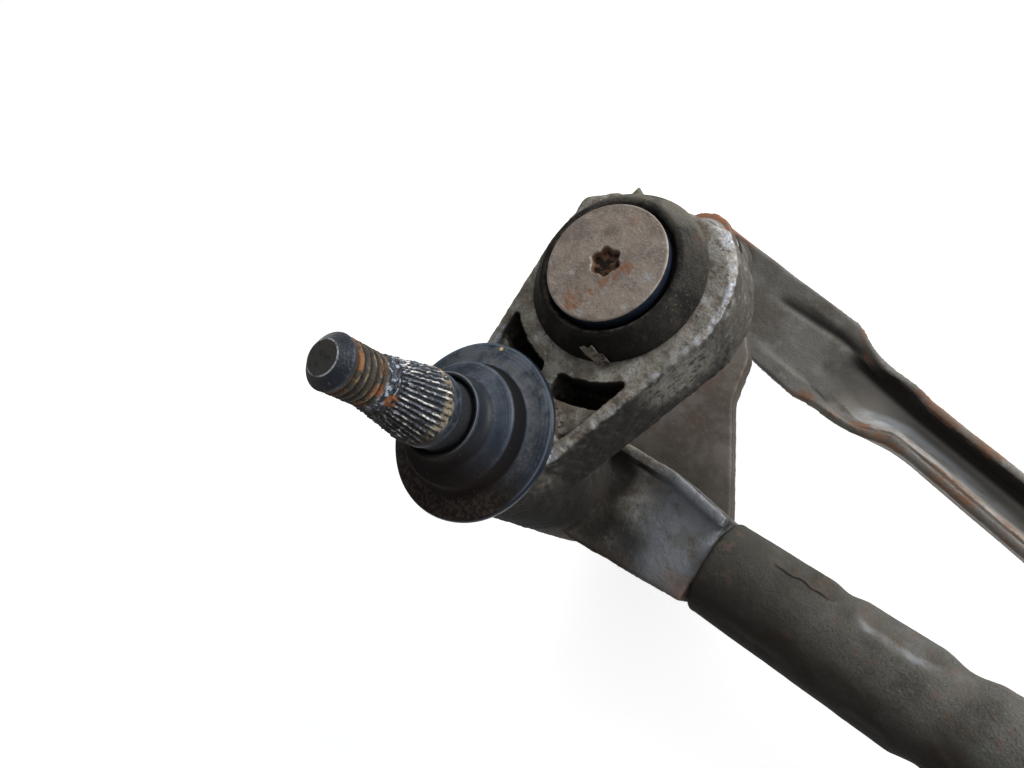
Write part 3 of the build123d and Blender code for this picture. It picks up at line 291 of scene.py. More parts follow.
def makeFinish(name, look):
    # a base coat with layers over it, each where its mask says, and grain as bump
    finish = bpy.data.materials.new(name)
    finish.use_nodes = True
    tree = finish.node_tree
    shader = tree.nodes["Principled BSDF"]
    coords = addNode(tree, "TexCoord").outputs["Object"]
    colour = look["colour"]
    values = {"rough": look["rough"], "metal": look.get("metal", 0.0)}
    for layer in look.get("layers", ()):
        mask = maskField(tree, coords, layer)
        ends = {"Factor": mask, 6: colour, 7: layer["colour"]}
        colour = addNode(tree, "Mix", ends, data_type="RGBA").outputs[2]
        for key in values:
            if key in layer:
                ends = {"Factor": mask, 2: values[key], 3: layer[key]}
                values[key] = addNode(tree, "Mix", ends).outputs[0]
    wire(tree, colour, shader.inputs["Base Color"])
    wire(tree, values["rough"], shader.inputs["Roughness"])
    wire(tree, values["metal"], shader.inputs["Metallic"])
    for key, value in look.get("fixed", {}).items():
        shader.inputs[key].default_value = value
    normal = None
    for layer in look.get("grain", ()):
        height = maskField(tree, coords, layer)
        ends = {"Strength": layer["strength"], "Distance": layer["depth"] * mm, "Height": height}
        if normal:
            ends["Normal"] = normal
        normal = addNode(tree, "Bump", ends).outputs["Normal"]
    if normal:
        wire(tree, normal, shader.inputs["Normal"])
    return finish


# masks: where a layer lies, from nothing at low to all at high
def speckle(scale, low, high, **more):
    return {"kind": "noise", "scale": scale, "low": low, "high": high, **more}


def level(low, high, axis="Z"):
    # along one axis, in mm
    return {"kind": "height", "axis": axis, "low": low * mm, "high": high * mm}


def marked(mark, low, high):
    # by a value worked out for each point of the mesh
    return {"kind": "mark", "mark": mark, "low": low, "high": high}


def facing(way, low, high):
    return {"kind": "facing", "way": way, "low": low, "high": high}


def nearSpot(place, low, high):
    return {"kind": "spot", "place": place, "low": low, "high": high}


def edges(low, high):
    return {"kind": "edge", "low": low, "high": high}


def coat(colour, mask, *within, **more):
    # a colour where all the masks say so, with its own rough, metal and amount
    return {**mask, "colour": paint(*colour), "within": within, **more}


def grime(colour, rough, mask, *within, **more):
    # dirt, rust or shade, which isn't metal
    return coat(colour, mask, *within, rough=rough, metal=0.0, **more)


def grain(scale, depth, strength, *within, low=0.3, **more):
    # bumps of noise, their depth in mm
    mask = speckle(scale, low, 0.7, **more)
    return {**mask, "depth": depth, "strength": strength, "within": within}


# the camera stands where the photograph was taken from
view = {
    "place": (65.78, 8.51, 70.58),
    "right": (0.7044, 0.5316, -0.4703),
    "up": (-0.4336, 0.8469, 0.3078),
    "lens": 24.47,
    "sensor": 36,
    "clip": (0.002, 20),
}


def makeCamera():
    camera = bpy.data.objects.new("camera", bpy.data.cameras.new("camera"))
    scene.collection.objects.link(camera)
    right = Vector(view["right"]).normalized()
    back = right.cross(Vector(view["up"])).normalized()
    up = back.cross(right)
    turn = Matrix((right, up, back)).transposed().to_4x4()
    camera.matrix_world = Matrix.Translation(Vector(view["place"]) * mm) @ turn
    camera.data.lens = view["lens"]
    camera.data.sensor_width = view["sensor"]
    camera.data.clip_start, camera.data.clip_end = view["clip"]
    scene.camera = camera
    return right, up, back


light = {
    "skyColour": (0.96, 0.98, 1.0, 1.0),
    "skyStrength": 0.4,
    "aim": (0.02, 0.02, -0.03),
    # way from the object in the camera's right, up and back, then distance, size and power
    "lamps": (
        ("keyLamp", (0.74, 0.52, 0.46), 0.9, 0.42, 10.5),
        ("fillLamp", (0.05, 0.85, 0.55), 1.0, 0.7, 2.6),
    ),
    "floorHalf": 4.0,
    "floorDrop": 0.004,
    "floorLook": {
        "colour": paint(243, 243, 242),
        "rough": 0.9,
        "fixed": {"Emission Color": paint(243, 243, 242), "Emission Strength": 0.56},
    },
}


def makeLight(right, up, back):
    world = bpy.data.worlds.new("room")
    world.use_nodes = True
    sky = world.node_tree.nodes["Background"]
    sky.inputs["Color"].default_value = light["skyColour"]
    sky.inputs["Strength"].default_value = light["skyStrength"]
    scene.world = world
    for name, (toRight, toUp, toBack), far, size, power in light["lamps"]:
        data = bpy.data.lights.new(name, "AREA")
        data.shape = "DISK"
        data.size = size
        data.energy = power
        lamp = bpy.data.objects.new(name, data)
        scene.collection.objects.link(lamp)
        way = (right * toRight + up * toUp + back * toBack).normalized()
        lamp.location = Vector(light["aim"]) + way * far
        lamp.rotation_mode = "QUATERNION"
        lamp.rotation_quaternion = way.to_track_quat("Z", "Y")
    floorZ = cadBox[0].z - light["floorDrop"]
    half = light["floorHalf"]
    corners = [(x * half, y * half, floorZ) for x, y in ((-1, -1), (1, -1), (1, 1), (-1, 1))]
    floorMesh = bpy.data.meshes.new("floor")
    floorMesh.from_pydata(corners, [], [(0, 1, 2, 3)])
    floor = bpy.data.objects.new("floor", floorMesh)
    scene.collection.objects.link(floor)
    floor.data.materials.append(makeFinish("paleFloor", light["floorLook"]))


scene.view_settings.view_transform = "Standard"
makeLight(*makeCamera())
print("camera, light and floor set")


# wiper spindles: thread, worn knurl, plain shank and riveted foot
spindle = {
    "steps": 304,
    "longest": 0.15,
    "pitch": 1.25,
    "threadDepth": 0.4,
    "grooveHalf": 0.34,
    "threadRust": 0.07,
    "teeth": 38,
    "toothDepth": 0.5,
    "toothRust": 0.13,
    "crust": 0.26,
    # heights where each starts, is full, fades and ends
    "thread": (3.3, 4.0, 9.5, 10.5),
    "neck": (-1.2, -0.2, 3.2, 3.8),
    "knurl": (-8.7, -7.9, 0.3, 1.7),
    "stake": (-77.6, -78.6),
    "stakeDepth": 0.5,
    # smallest radius that thread and knurl are cut into
    "threadCore": 3.5,
    "knurlCore": 3.9,
    "plainBelow": -11.4,
    # radius, height and rounding of the corners, from the tip down
    "line": (
        (0.0, 12.0),
        (2.5, 12.0, 0.12),
        (4.0, 10.55, 0.2),
        (4.0, 3.6, 0.2),
        (3.84, 3.2, 0.3),
        (4.05, 2.5, 0.3),
        (4.22, 1.0, 0.3),
        (4.5, -0.6, 0.3),
        (6.0, -8.0, 0.2),
        (6.09, -8.3, 0.2),
        (5.98, -9.0, 0.3),
        (5.98, -10.9, 0.1),
        (5.7, -11.15, 0.1),
        (5.7, -14.5, 0.1),
        (5.98, -14.8, 0.1),
        (5.98, -22.6),
        (5.5, -22.65),
        (5.5, -23.75),
        (6.0, -23.8),
        (6.0, -72.4),
        (5.0, -72.5),
        (5.0, -77.0),
        (6.6, -77.05, 0.3),
        (6.1, -78.9, 0.7),
        (3.2, -79.1, 0.4),
        (2.4, -78.6, 0.4),
        (0.0, -78.5),
    ),
    "finish": {
        "colour": paint(30, 34, 42),
        "rough": 0.42,
        "metal": 0.4,
        "fixed": {"Specular IOR Level": 0.35},
        "layers": (
            coat((54, 58, 66), speckle(700, 0.52, 0.66), rough=0.5, amount=0.7),
            coat((120, 116, 110), speckle(1500, 0.66, 0.72), rough=0.7, amount=0.8),
            # end face, dull, inside a ring of painted highlight on the chamfer's edge
            coat((50, 48, 44), level(11.86, 11.92), rough=0.6, metal=0.2),
            coat((36, 35, 33), speckle(900, 0.46, 0.66), level(11.86, 11.92), rough=0.75),
            coat(
                (176, 180, 186), marked("reach", 2.34, 2.44), marked("reach", 2.62, 2.52),
                level(11.5, 11.8), speckle(500, 0.36, 0.56), rough=0.3, metal=0.8,
            ),
            # the thread: olive brown with two rings of orange rust
            coat(
                (52, 45, 34), speckle(420, 0.26, 0.46), level(10.3, 9.7), level(3.2, 3.8),
                rough=0.75, metal=0.1,
            ),
            grime(
                (26, 24, 24), 0.8, speckle(520, 0.46, 0.6, stretch=(1, 1, 2.8)), level(10.6, 9.8),
                level(3, 4), amount=0.85,
            ),
            grime((116, 72, 38), 0.9, speckle(640, 0.46, 0.58), level(10, 9.5), level(8.2, 8.8)),
            grime(
                (112, 69, 36), 0.9, speckle(640, 0.46, 0.59, shift=(0.3, 0.1, 0.2)), level(5.6, 5),
                level(3.4, 3.9),
            ),
            grime((18, 15, 12), 0.9, marked("groove", 0.3, 0.9), amount=0.9),
            # paler brown on the thread's crests: painted highlight
            grime(
                (104, 92, 68), 0.8, marked("groove", 0.16, 0.0), level(9.4, 8.6), level(3.8, 4.6),
                speckle(700, 0.46, 0.6), amount=0.8,
            ),
            # bluish, crusty neck where the thread runs out
            coat(
                (138, 146, 158), speckle(900, 0.52, 0.6), level(4, 3.3), level(-1.4, 0.2),
                rough=0.6, metal=0.2,
            ),
            # bluish collar under the knurl, paler towards +Y as painted light, then a black gap to
            # the cap's lip painted as shadow
            coat(
                (74, 88, 104), speckle(420, 0.46, 0.66, stretch=(0.4, 0.4, 3.0)), level(-8.8, -9.4),
                facing((0.4, 1.0, 0.0), -0.3, 0.4), rough=0.5, amount=0.8,
            ),
            grime((9, 11, 15), 0.85, level(-10.7, -11.1)),
            # worn crests of the knurl, broken and pale, over dark roots
            grime((12, 13, 17), 0.7, marked("root", 0.2, 0.8)),
            coat(
                (78, 84, 94), marked("crest", 0.3, 0.7),
                speckle(700, 0.38, 0.55, stretch=(1, 1, 0.5)), rough=0.5, metal=0.2,
            ),
            coat(
                (192, 190, 183), marked("crest", 0.45, 0.85),
                speckle(1150, 0.47, 0.57, stretch=(1, 1, 0.6), shift=(0.2, 0, 0)),
                speckle(330, 0.34, 0.52), rough=0.5, metal=0.2,
            ),
            # beige dirt at the foot of the knurl; painted shade, brown-black, on its lower side
            grime(
                (112, 103, 86), 0.95, speckle(760, 0.42, 0.56), level(-6.6, -7.6),
                level(-9.2, -8.6),
            ),
            grime(
                (36, 27, 20), 0.95, facing((-0.3, -1.0, -0.1), 0.1, 0.75), level(-10.5, -9),
                amount=0.85,
            ),
            grime(
                (30, 22, 16), 1.0, level(-0.8, -3.6, "Y"), level(-10.5, -9), level(3.4, 2.2),
                speckle(900, 0.34, 0.54), amount=0.8,
            ),
            grime(
                (122, 72, 36), 0.9, nearSpot((4.2, -0.8, 1.6), 1.3, 0.7), speckle(900, 0.38, 0.5),
            ),
        ),
        "grain": (
            grain(2400, 0.05, 0.6),
            grain(800, 0.12, 0.5),
        ),
    },
}


def spindleShape(angle, radius, height):
    # wear is how deep a point lies in the thread's groove, or from 2 on how high on a tooth
    wear = 0.0
    around = Vector((cos(angle), sin(angle), 0))
    fade = between(height, *spindle["thread"])
    if fade and radius > spindle["threadCore"]:
        phase = (height / spindle["pitch"] - angle / (2 * pi)) % 1.0
        groove = max(0.0, 1 - abs(phase - 0.5) / spindle["grooveHalf"]) ** 0.8
        worn = 0.8 + 0.55 * noise.noise(around * 1.6 + Vector((0, 0, height * 0.5)))
        radius -= spindle["threadDepth"] * groove * fade * min(1.0, worn)
        rust = 1 + noise.noise(around * 7 + Vector((0, 0, height * 3)))
        radius -= spindle["threadRust"] * fade * rust
        wear = groove * fade
    crust = between(height, *spindle["neck"])
    if crust and radius > spindle["threadCore"]:
        radius += spindle["crust"] * crust * noise.noise(around * 6 + Vector((0, 9, height * 2.2)))
    fade = between(height, *spindle["knurl"])
    if fade and radius > spindle["knurlCore"]:
        bent = angle + 0.018 * noise.noise(around * 2.2 + Vector((4, 1, height * 0.7)))
        tooth = 1 - abs(2 * ((spindle["teeth"] * bent / (2 * pi)) % 1.0) - 1)
        worn = 0.72 + 0.8 * noise.noise(around * 11 + Vector((0, 0, height * 1.5 + 7)))
        radius += spindle["toothDepth"] * (min(tooth, worn) - 0.6) * fade
        rust = noise.noise(around * 24 + Vector((0, 0, height * 2.6)))
        radius += spindle["toothRust"] * fade * rust
        wear = 2 + tooth * fade if fade > 0.05 else 0.0
    # the riveted end is staked at six places
    stake = max(0.0, cos(6 * angle)) ** 6
    radius -= spindle["stakeDepth"] * stake * smoothStep(*spindle["stake"], height)
    return radius, height, wear


def makeSpindle(side):
    line = roundedLine(spindle["line"])
    # finely divided above the cap's lip alone
    lip = spindle["plainBelow"]
    fine = [point for point in divided(line, spindle["longest"]) if point.y > lip]
    fine += [point for point in line if point.y <= lip]
    verts, faces, marks = turned(fine, spindle["steps"], (spindleX[side], 0.0), spindleShape)
    wear = marks["wear"]
    marks["groove"] = [w if w < 1.5 else 0.0 for w in wear]
    marks["crest"] = [smoothStep(0.35, 0.95, w - 2) if w > 1.5 else 0.0 for w in wear]
    marks["root"] = [smoothStep(0.5, 0.15, w - 2) if w > 1.5 else 0.0 for w in wear]
    name, node = "wiperSpindle_" + side, "spindle_" + side
    makePiece(name, verts, faces, node, spindleFinish, [node], marks)


spindleFinish = makeFinish("blackenedSpindle", spindle["finish"])
for side in "ab":
    makeSpindle(side)
print("spindles turned")


# rubber caps over the bosses
cap = {
    "steps": 160,
    "longest": 0.16,
    "footTop": -23.6,
    # where the flange begins to sway, and how far it sways out and up
    "wavy": (9.0, 15.0),
    "sway": (0.12, 0.16),
    # rings left by the mould: height, count, sway, radii where they begin, lowest height
    "rings": (
        (0.014, 15, 2, 7.3, 7.8, -18.6),
        (0.012, 9, 3, 12.2, 12.8, -23.0),
    ),
    "line": (
        (6.1, -14.35, 0.05),
        (6.3, -14.15, 0.1),
        (6.45, -13.8, 0.1),
        (6.82, -13.68, 0.05),
        (7.02, -13.75, 0.08),
        (7.05, -14.3, 0.3),
        (6.72, -15.2, 0.5),
        (6.85, -16.9, 0.7),
        (7.9, -17.8, 0.6),
        (9.5, -18.25, 0.5),
        (10.15, -18.4, 0.3),
        (10.42, -18.9, 0.35),
        (10.5, -20.8, 0.6),
        (11.0, -21.8, 0.7),
        (12.2, -22.2, 0.7),
        (14.3, -22.5, 0.4),
        (15.0, -22.6, 0.2),
        (15.2, -23.0, 0.25),
        (15.1, -23.75, 0.2),
        (14.3, -23.9, 0.1),
        (8.75, -23.9, 0.1),
        (8.75, -20.3, 0.4),
        (7.4, -19.7, 0.3),
        (6.12, -19.4, 0.1),
    ),
    "finish": {
        "colour": paint(38, 45, 55),
        "rough": 0.5,
        "fixed": {"Specular IOR Level": 0.2},
        "layers": (
            coat((54, 61, 71), speckle(260, 0.42, 0.66), rough=0.55),
            # paler blue-grey towards +Y, the lamps' side: painted light
            coat((94, 100, 108), level(3, 12, "Y"), speckle(420, 0.3, 0.6), amount=0.75),
            # a painted highlight line round the lip
            coat(
                (120, 122, 122), marked("reach", 6.7, 6.8), marked("reach", 7.0, 6.9),
                level(-13.9, -13.75), rough=0.5, amount=0.7,
            ),
            # painted shade: near black on the barrel and in the lip groove
            coat((4, 5, 7), marked("reach", 10.25, 10.45), marked("reach", 11.3, 10.9), rough=0.95),
            coat((14, 17, 22), marked("reach", 7.7, 7.3), level(-13.8, -14.2), amount=0.8),
            # dust lies where the flange leaves the barrel, and thinly on the flange
            coat(
                (86, 83, 78), speckle(900, 0.4, 0.68), marked("reach", 11.0, 11.8),
                marked("reach", 13.2, 12.3), rough=0.9, amount=0.6,
            ),
            coat(
                (84, 80, 75), speckle(2600, 0.5, 0.66), marked("reach", 10.9, 11.6), rough=0.9,
                amount=0.45,
            ),
            # painted shade: dark brown over the lower side, with specks of brown dirt on it
            coat((24, 16, 11), level(3, -7, "Y"), speckle(240, 0.1, 0.42), rough=0.95, amount=0.94),
            coat(
                (72, 60, 52), speckle(1300, 0.44, 0.62, grit=0.7), level(-2, -9, "Y"),
                marked("reach", 10.9, 12.2), rough=0.95, amount=0.6,
            ),
            coat((120, 114, 104), speckle(1800, 0.69, 0.74), rough=0.95),
            # the rim, dark, with a thin painted highlight along its upper edge
            coat((20, 26, 36), marked("reach", 14.85, 15.0), rough=0.35),
            coat(
                (88, 100, 114), marked("reach", 14.5, 14.75), marked("reach", 15.0, 14.85),
                facing((0, 0, 1), 0.2, 0.6), level(-8, 0, "Y"), rough=0.35, amount=0.6,
            ),
            coat((196, 168, 120), nearSpot((-3.0, 14.0, -22.6), 0.5, 0.25), rough=0.9),
        ),
        "grain": (
            grain(2600, 0.03, 0.4),
            grain(380, 0.1, 0.25),
        ),
    },
}


def capShape(angle, radius, height):
    wave = waveAt(cos(angle) * 1.4, sin(angle) * 1.4, radius * 0.12)
    outer = smoothStep(*cap["wavy"], radius) if height > cap["footTop"] else 0.0
    ring = 0.0
    for size, count, sway, start, full, lowest in cap["rings"]:
        line = size * sin(radius * count + sway * wave) * smoothStep(start, full, radius)
        ring += line * (height > lowest)
    out, up = cap["sway"]
    return radius + out * wave * outer, height + ring + up * wave * outer, 0.0


def makeCap(side):
    line = divided(roundedLine(cap["line"], True), cap["longest"], True)
    verts, faces, marks = turned(line, cap["steps"], (spindleX[side], 0.0), capShape, True)
    stands = ["spindle_cap_" + side]
    makePiece("bossCap_" + side, verts, faces, "frame", capFinish, stands, marks)


capFinish = makeFinish("agedRubberCap", cap["finish"])
for side in "ab":
    makeCap(side)
print("caps fitted")


# grommets and the large flat screws in the eyes
grommet = {
    "steps": 220,
    "longest": 0.4,
    "nibAngle": 108,
    "nibHalf": 0.055,
    "nibOut": (13.6, 15.0),
    "nibUp": (14.0, 15.0),
    "nibLift": 0.5,
    "ringDepth": 0.05,
    "ringTurn": 9,
    "sway": (0.16, 0.1),
    "coneR": (11.3, 12.5),
    "coneFoot": (-27.9, -27.0),
    "line": (
        (6.1, -26.4, 0.1),
        (10.9, -26.4, 0.2),
        (11.0, -24.2, 0.2),
        (11.5, -23.55, 0.3),
        (12.4, -23.6, 0.5),
        (14.6, -26.3, 0.8),
        (15.15, -27.3, 0.4),
        (15.1, -27.9, 0.1),
        (11.25, -28.0, 0.1),
        (11.25, -42.0, 0.1),
        (13.6, -42.05, 0.3),
        (12.8, -45.4, 0.5),
        (6.1, -45.4, 0.2),
    ),
    "finish": {
        "colour": paint(38, 36, 33),
        "rough": 0.8,
        "fixed": {"Specular IOR Level": 0.15},
        "layers": (
            coat((52, 49, 44), speckle(300, 0.44, 0.66), rough=0.95),
            coat((22, 20, 18), speckle(180, 0.5, 0.66), rough=0.7),
            coat((86, 82, 75), speckle(2600, 0.58, 0.68), rough=0.95, amount=0.7),
            coat(
                (100, 96, 88), level(41, 49.5, "Y"), speckle(240, 0.34, 0.56), rough=0.95,
                amount=0.75,
            ),
            # painted shade: near black over the lower side; brown specks of dirt low on the cone
            coat((14, 11, 9), level(34, 22, "Y"), speckle(200, 0.2, 0.5), rough=0.85, amount=0.85),
            coat((66, 44, 30), speckle(420, 0.6, 0.67), level(-24.5, -26.2), rough=0.95),
            # pale inner lip: a painted highlight on its edge
            coat(
                (84, 78, 70), marked("reach", 11.9, 11.5), speckle(700, 0.42, 0.6),
                level(-24.5, -23.8), rough=0.9, amount=0.6,
            ),
        ),
        "grain": (
            grain(2200, 0.08, 0.7),
            grain(600, 0.2, 0.6),
        ),
    },
}


def grommetShape(angle, radius, height):
    wave = waveAt(cos(angle) * 2.2, sin(angle) * 2.2, height * 0.3)
    outer = smoothStep(*grommet["coneR"], radius) * smoothStep(*grommet["coneFoot"], height)
    gap = abs((angle - radians(grommet["nibAngle"]) + pi) % (2 * pi) - pi)
    nib = bump(gap, 0, grommet["nibHalf"])
    ring = grommet["ringDepth"] * sin(height * grommet["ringTurn"]) * outer
    out, up = grommet["sway"]
    reach = radius + (out * wave + ring) * outer + nib * smoothStep(*grommet["nibOut"], radius)
    lift = grommet["nibLift"] * nib * smoothStep(*grommet["nibUp"], radius)
    return reach, height + up * wave * outer + lift, 0.0


screw = {
    "steps": 120,
    "top": -22.1,
    "discR": 9.8,
    "recessR": 2.4,
    "lobe": 0.24,
    "recessDepth": 1.35,
    "pitch": 1.25,
    "threadDepth": 0.5,
    "threadCore": 3,
    "thread": (-44, -46),
    "headLongest": 0.14,
    "head": ((0.0, -22.1), (10.3, -22.1, 0.35), (10.3, -24.9)),
    "shankLongest": 0.3,
    "shank": (
        (10.3, -25.0, 0.4),
        (9.7, -26.1, 0.3),
        (3.95, -26.12, 0.2),
        (3.95, -58.3, 0.2),
        (2.9, -59.9, 0.2),
        (0.0, -59.9),
    ),
    # rust on the disc: place from its centre, reach and weight
    "rustPatches": (
        ((-1.6, -8.1), 3.0, 1.0),
        ((0.9, -5.4), 1.7, 0.9),
        ((1.7, -3.2), 1.5, 0.8),
        ((2.9, -1.4), 1.5, 0.7),
        ((4.0, 0.5), 1.8, 0.9),
        ((0.9, 7.7), 2.4, 0.45),
    ),
    "finish": {
        "colour": paint(140, 128, 117),
        "rough": 0.62,
        "metal": 0.2,
        "layers": (
            coat((116, 105, 96), speckle(260, 0.42, 0.62), rough=0.7),
            coat((156, 150, 146), speckle(420, 0.56, 0.7), rough=0.5, metal=0.4),
            coat((168, 158, 146), speckle(2600, 0.55, 0.67), amount=0.6),
            coat((88, 78, 69), speckle(2000, 0.58, 0.68, grit=0.7), rough=0.9, amount=0.65),
            grime(
                (126, 84, 56), 0.9, marked("rust", 0.1, 0.75), speckle(620, 0.34, 0.5, grit=0.7),
                amount=0.85,
            ),
            grime((104, 74, 54), 0.95, marked("pit", 0.02, 0.4)),
            grime((30, 22, 17), 0.95, marked("pit", 0.6, 1.0), speckle(800, 0.42, 0.54)),
            coat((32, 40, 54), marked("reach", 10.12, 10.25), level(-22.2, -22.5), rough=0.35),
        ),
        "grain": (
            grain(2300, 0.05, 0.6),
            grain(620, 0.12, 0.5, low=0.35),
        ),
    },
}


def makeScrew(side):
    mirror = 1 if side == "a" else -1
    rust, pit = [], []

    def screwShape(angle, radius, height):
        rusty = dirty = 0.0
        x, y = radius * cos(angle), radius * sin(angle)
        if height > screw["top"] - 0.02 and radius < screw["discR"]:
            edge = screw["recessR"] + screw["lobe"] * cos(6 * angle) + 0.16 * waveAt(x, y, 8)
            dirty = smoothStep(edge + 0.2, edge - 0.3, radius)
            height -= screw["recessDepth"] * dirty * (1 + 0.35 * waveAt(x, y, 4))
            height += 0.05 * waveAt(x * 0.35, y * 0.35, 3)
            for (rustX, rustY), reach, weight in screw["rustPatches"]:
                away = sqrt((x * mirror - rustX) ** 2 + (y - rustY) ** 2)
                away += 0.9 * waveAt(x * 1.1, y * 1.1, 6) + 0.5 * waveAt(x * 3, y * 3, 2)
                rusty = max(rusty, weight * bump(away, 0, reach))
        if radius > screw["threadCore"]:
            phase = (height / screw["pitch"] - angle / (2 * pi)) % 1.0
            cut = screw["threadDepth"] * abs(2 * phase - 1)
            radius -= cut * smoothStep(*screw["thread"], height)
        rust.append(rusty)
        pit.append(dirty)
        return radius, height, 0.0

    line = divided(roundedLine(screw["head"]), screw["headLongest"])
    line += divided(roundedLine(screw["shank"]), screw["shankLongest"])
    verts, faces, marks = turned(line, screw["steps"], (eyeX[side], eyeY), screwShape)
    marks.update({"rust": rust, "pit": pit})
    stands = ["mount_screw_" + side]
    makePiece("flatScrew_" + side, verts, faces, "frame", screwFinish, stands, marks)


def makeGrommet(side):
    line = divided(roundedLine(grommet["line"], True), grommet["longest"], True)
    place = (eyeX[side], eyeY)
    verts, faces, marks = turned(line, grommet["steps"], place, grommetShape, True)
    stands = ["mount_grommet_" + side]
    name, slot = "eyeGrommet_" + side, "grommet_rubber"
    makePiece(name, verts, faces, "frame", grommetFinish, stands, marks)


screwFinish = makeFinish("corrodedScrew", screw["finish"])
grommetFinish = makeFinish("dustyGrommet", grommet["finish"])
for side in "ab":
    makeScrew(side)
    makeGrommet(side)
print("grommets and screws set")


# a crumpled flake of old leaf caught at the foot of the first grommet
flake = {
    "place": (10.9, 20.7),
    "turn": 11,
    "outline": (
        (-2.7, 0.5),
        (-1.9, 0.9),
        (-0.9, 0.6),
        (-0.2, 1.1),
        (0.6, 0.5),
        (1.2, 0.7),
        (2.7, -0.3),
        (1.3, -0.5),
        (0.5, -1.1),
        (-0.6, -0.5),
        (-1.7, -0.2),
    ),
    "thick": 0.14,
    "rings": 5,
    # the grommet's cone under it: radii and heights
    "ground": ((12.4, 14.6, 15.15, 15.4), (-23.6, -26.3, -27.3, -28.0)),
    "finish": {
        "colour": paint(112, 103, 92),
        "rough": 0.9,
        "layers": (
            coat((64, 54, 46), speckle(900, 0.45, 0.6)),
            coat((150, 142, 130), speckle(1600, 0.56, 0.66)),
        ),
        "grain": (grain(1800, 0.1, 0.7),),
    },
}


def makeFlake():
    turn = Matrix.Rotation(radians(flake["turn"]), 3, "Z")
    centre = Vector((*flake["place"], 0))
    verts, faces = [], []
    rings = flake["rings"]
    count = len(flake["outline"])
    for side in (0, 1):
        for ring in range(rings + 1):
            for x, y in flake["outline"] if ring else ((0.0, 0.0),):
                spot = turn @ (Vector((x, y, 0)) * ring / rings)
                lift = 0.6 + 1.1 * noise.noise(spot * 0.8 + Vector((2, 5, 1))) + 0.35 * abs(spot.y)
                spot += centre
                away = sqrt((spot.x - eyeX["a"]) ** 2 + (spot.y - eyeY) ** 2)
                spot.z = curveAt(away, flake["ground"]) + lift - side * flake["thick"]
                verts.append(spot * mm)
    layer = 1 + rings * count
    steps = [(step, (step + 1) % count) for step in range(count)]
    for base in (0, layer):
        for step, after in steps:
            faces.append((base, base + 1 + step, base + 1 + after))
            for ring in range(rings - 1):
                low = base + 1 + ring * count
                faces.append((low + step, low + count + step, low + count + after, low + after))
    rim = 1 + (rings - 1) * count
    for step, after in steps:
        faces.append((rim + step, rim + layer + step, rim + layer + after, rim + after))
    finish = makeFinish("dryLeaf", flake["finish"])
    makePiece("leafFlake", verts, faces, "frame", finish)


makeFlake()
print("flake laid")


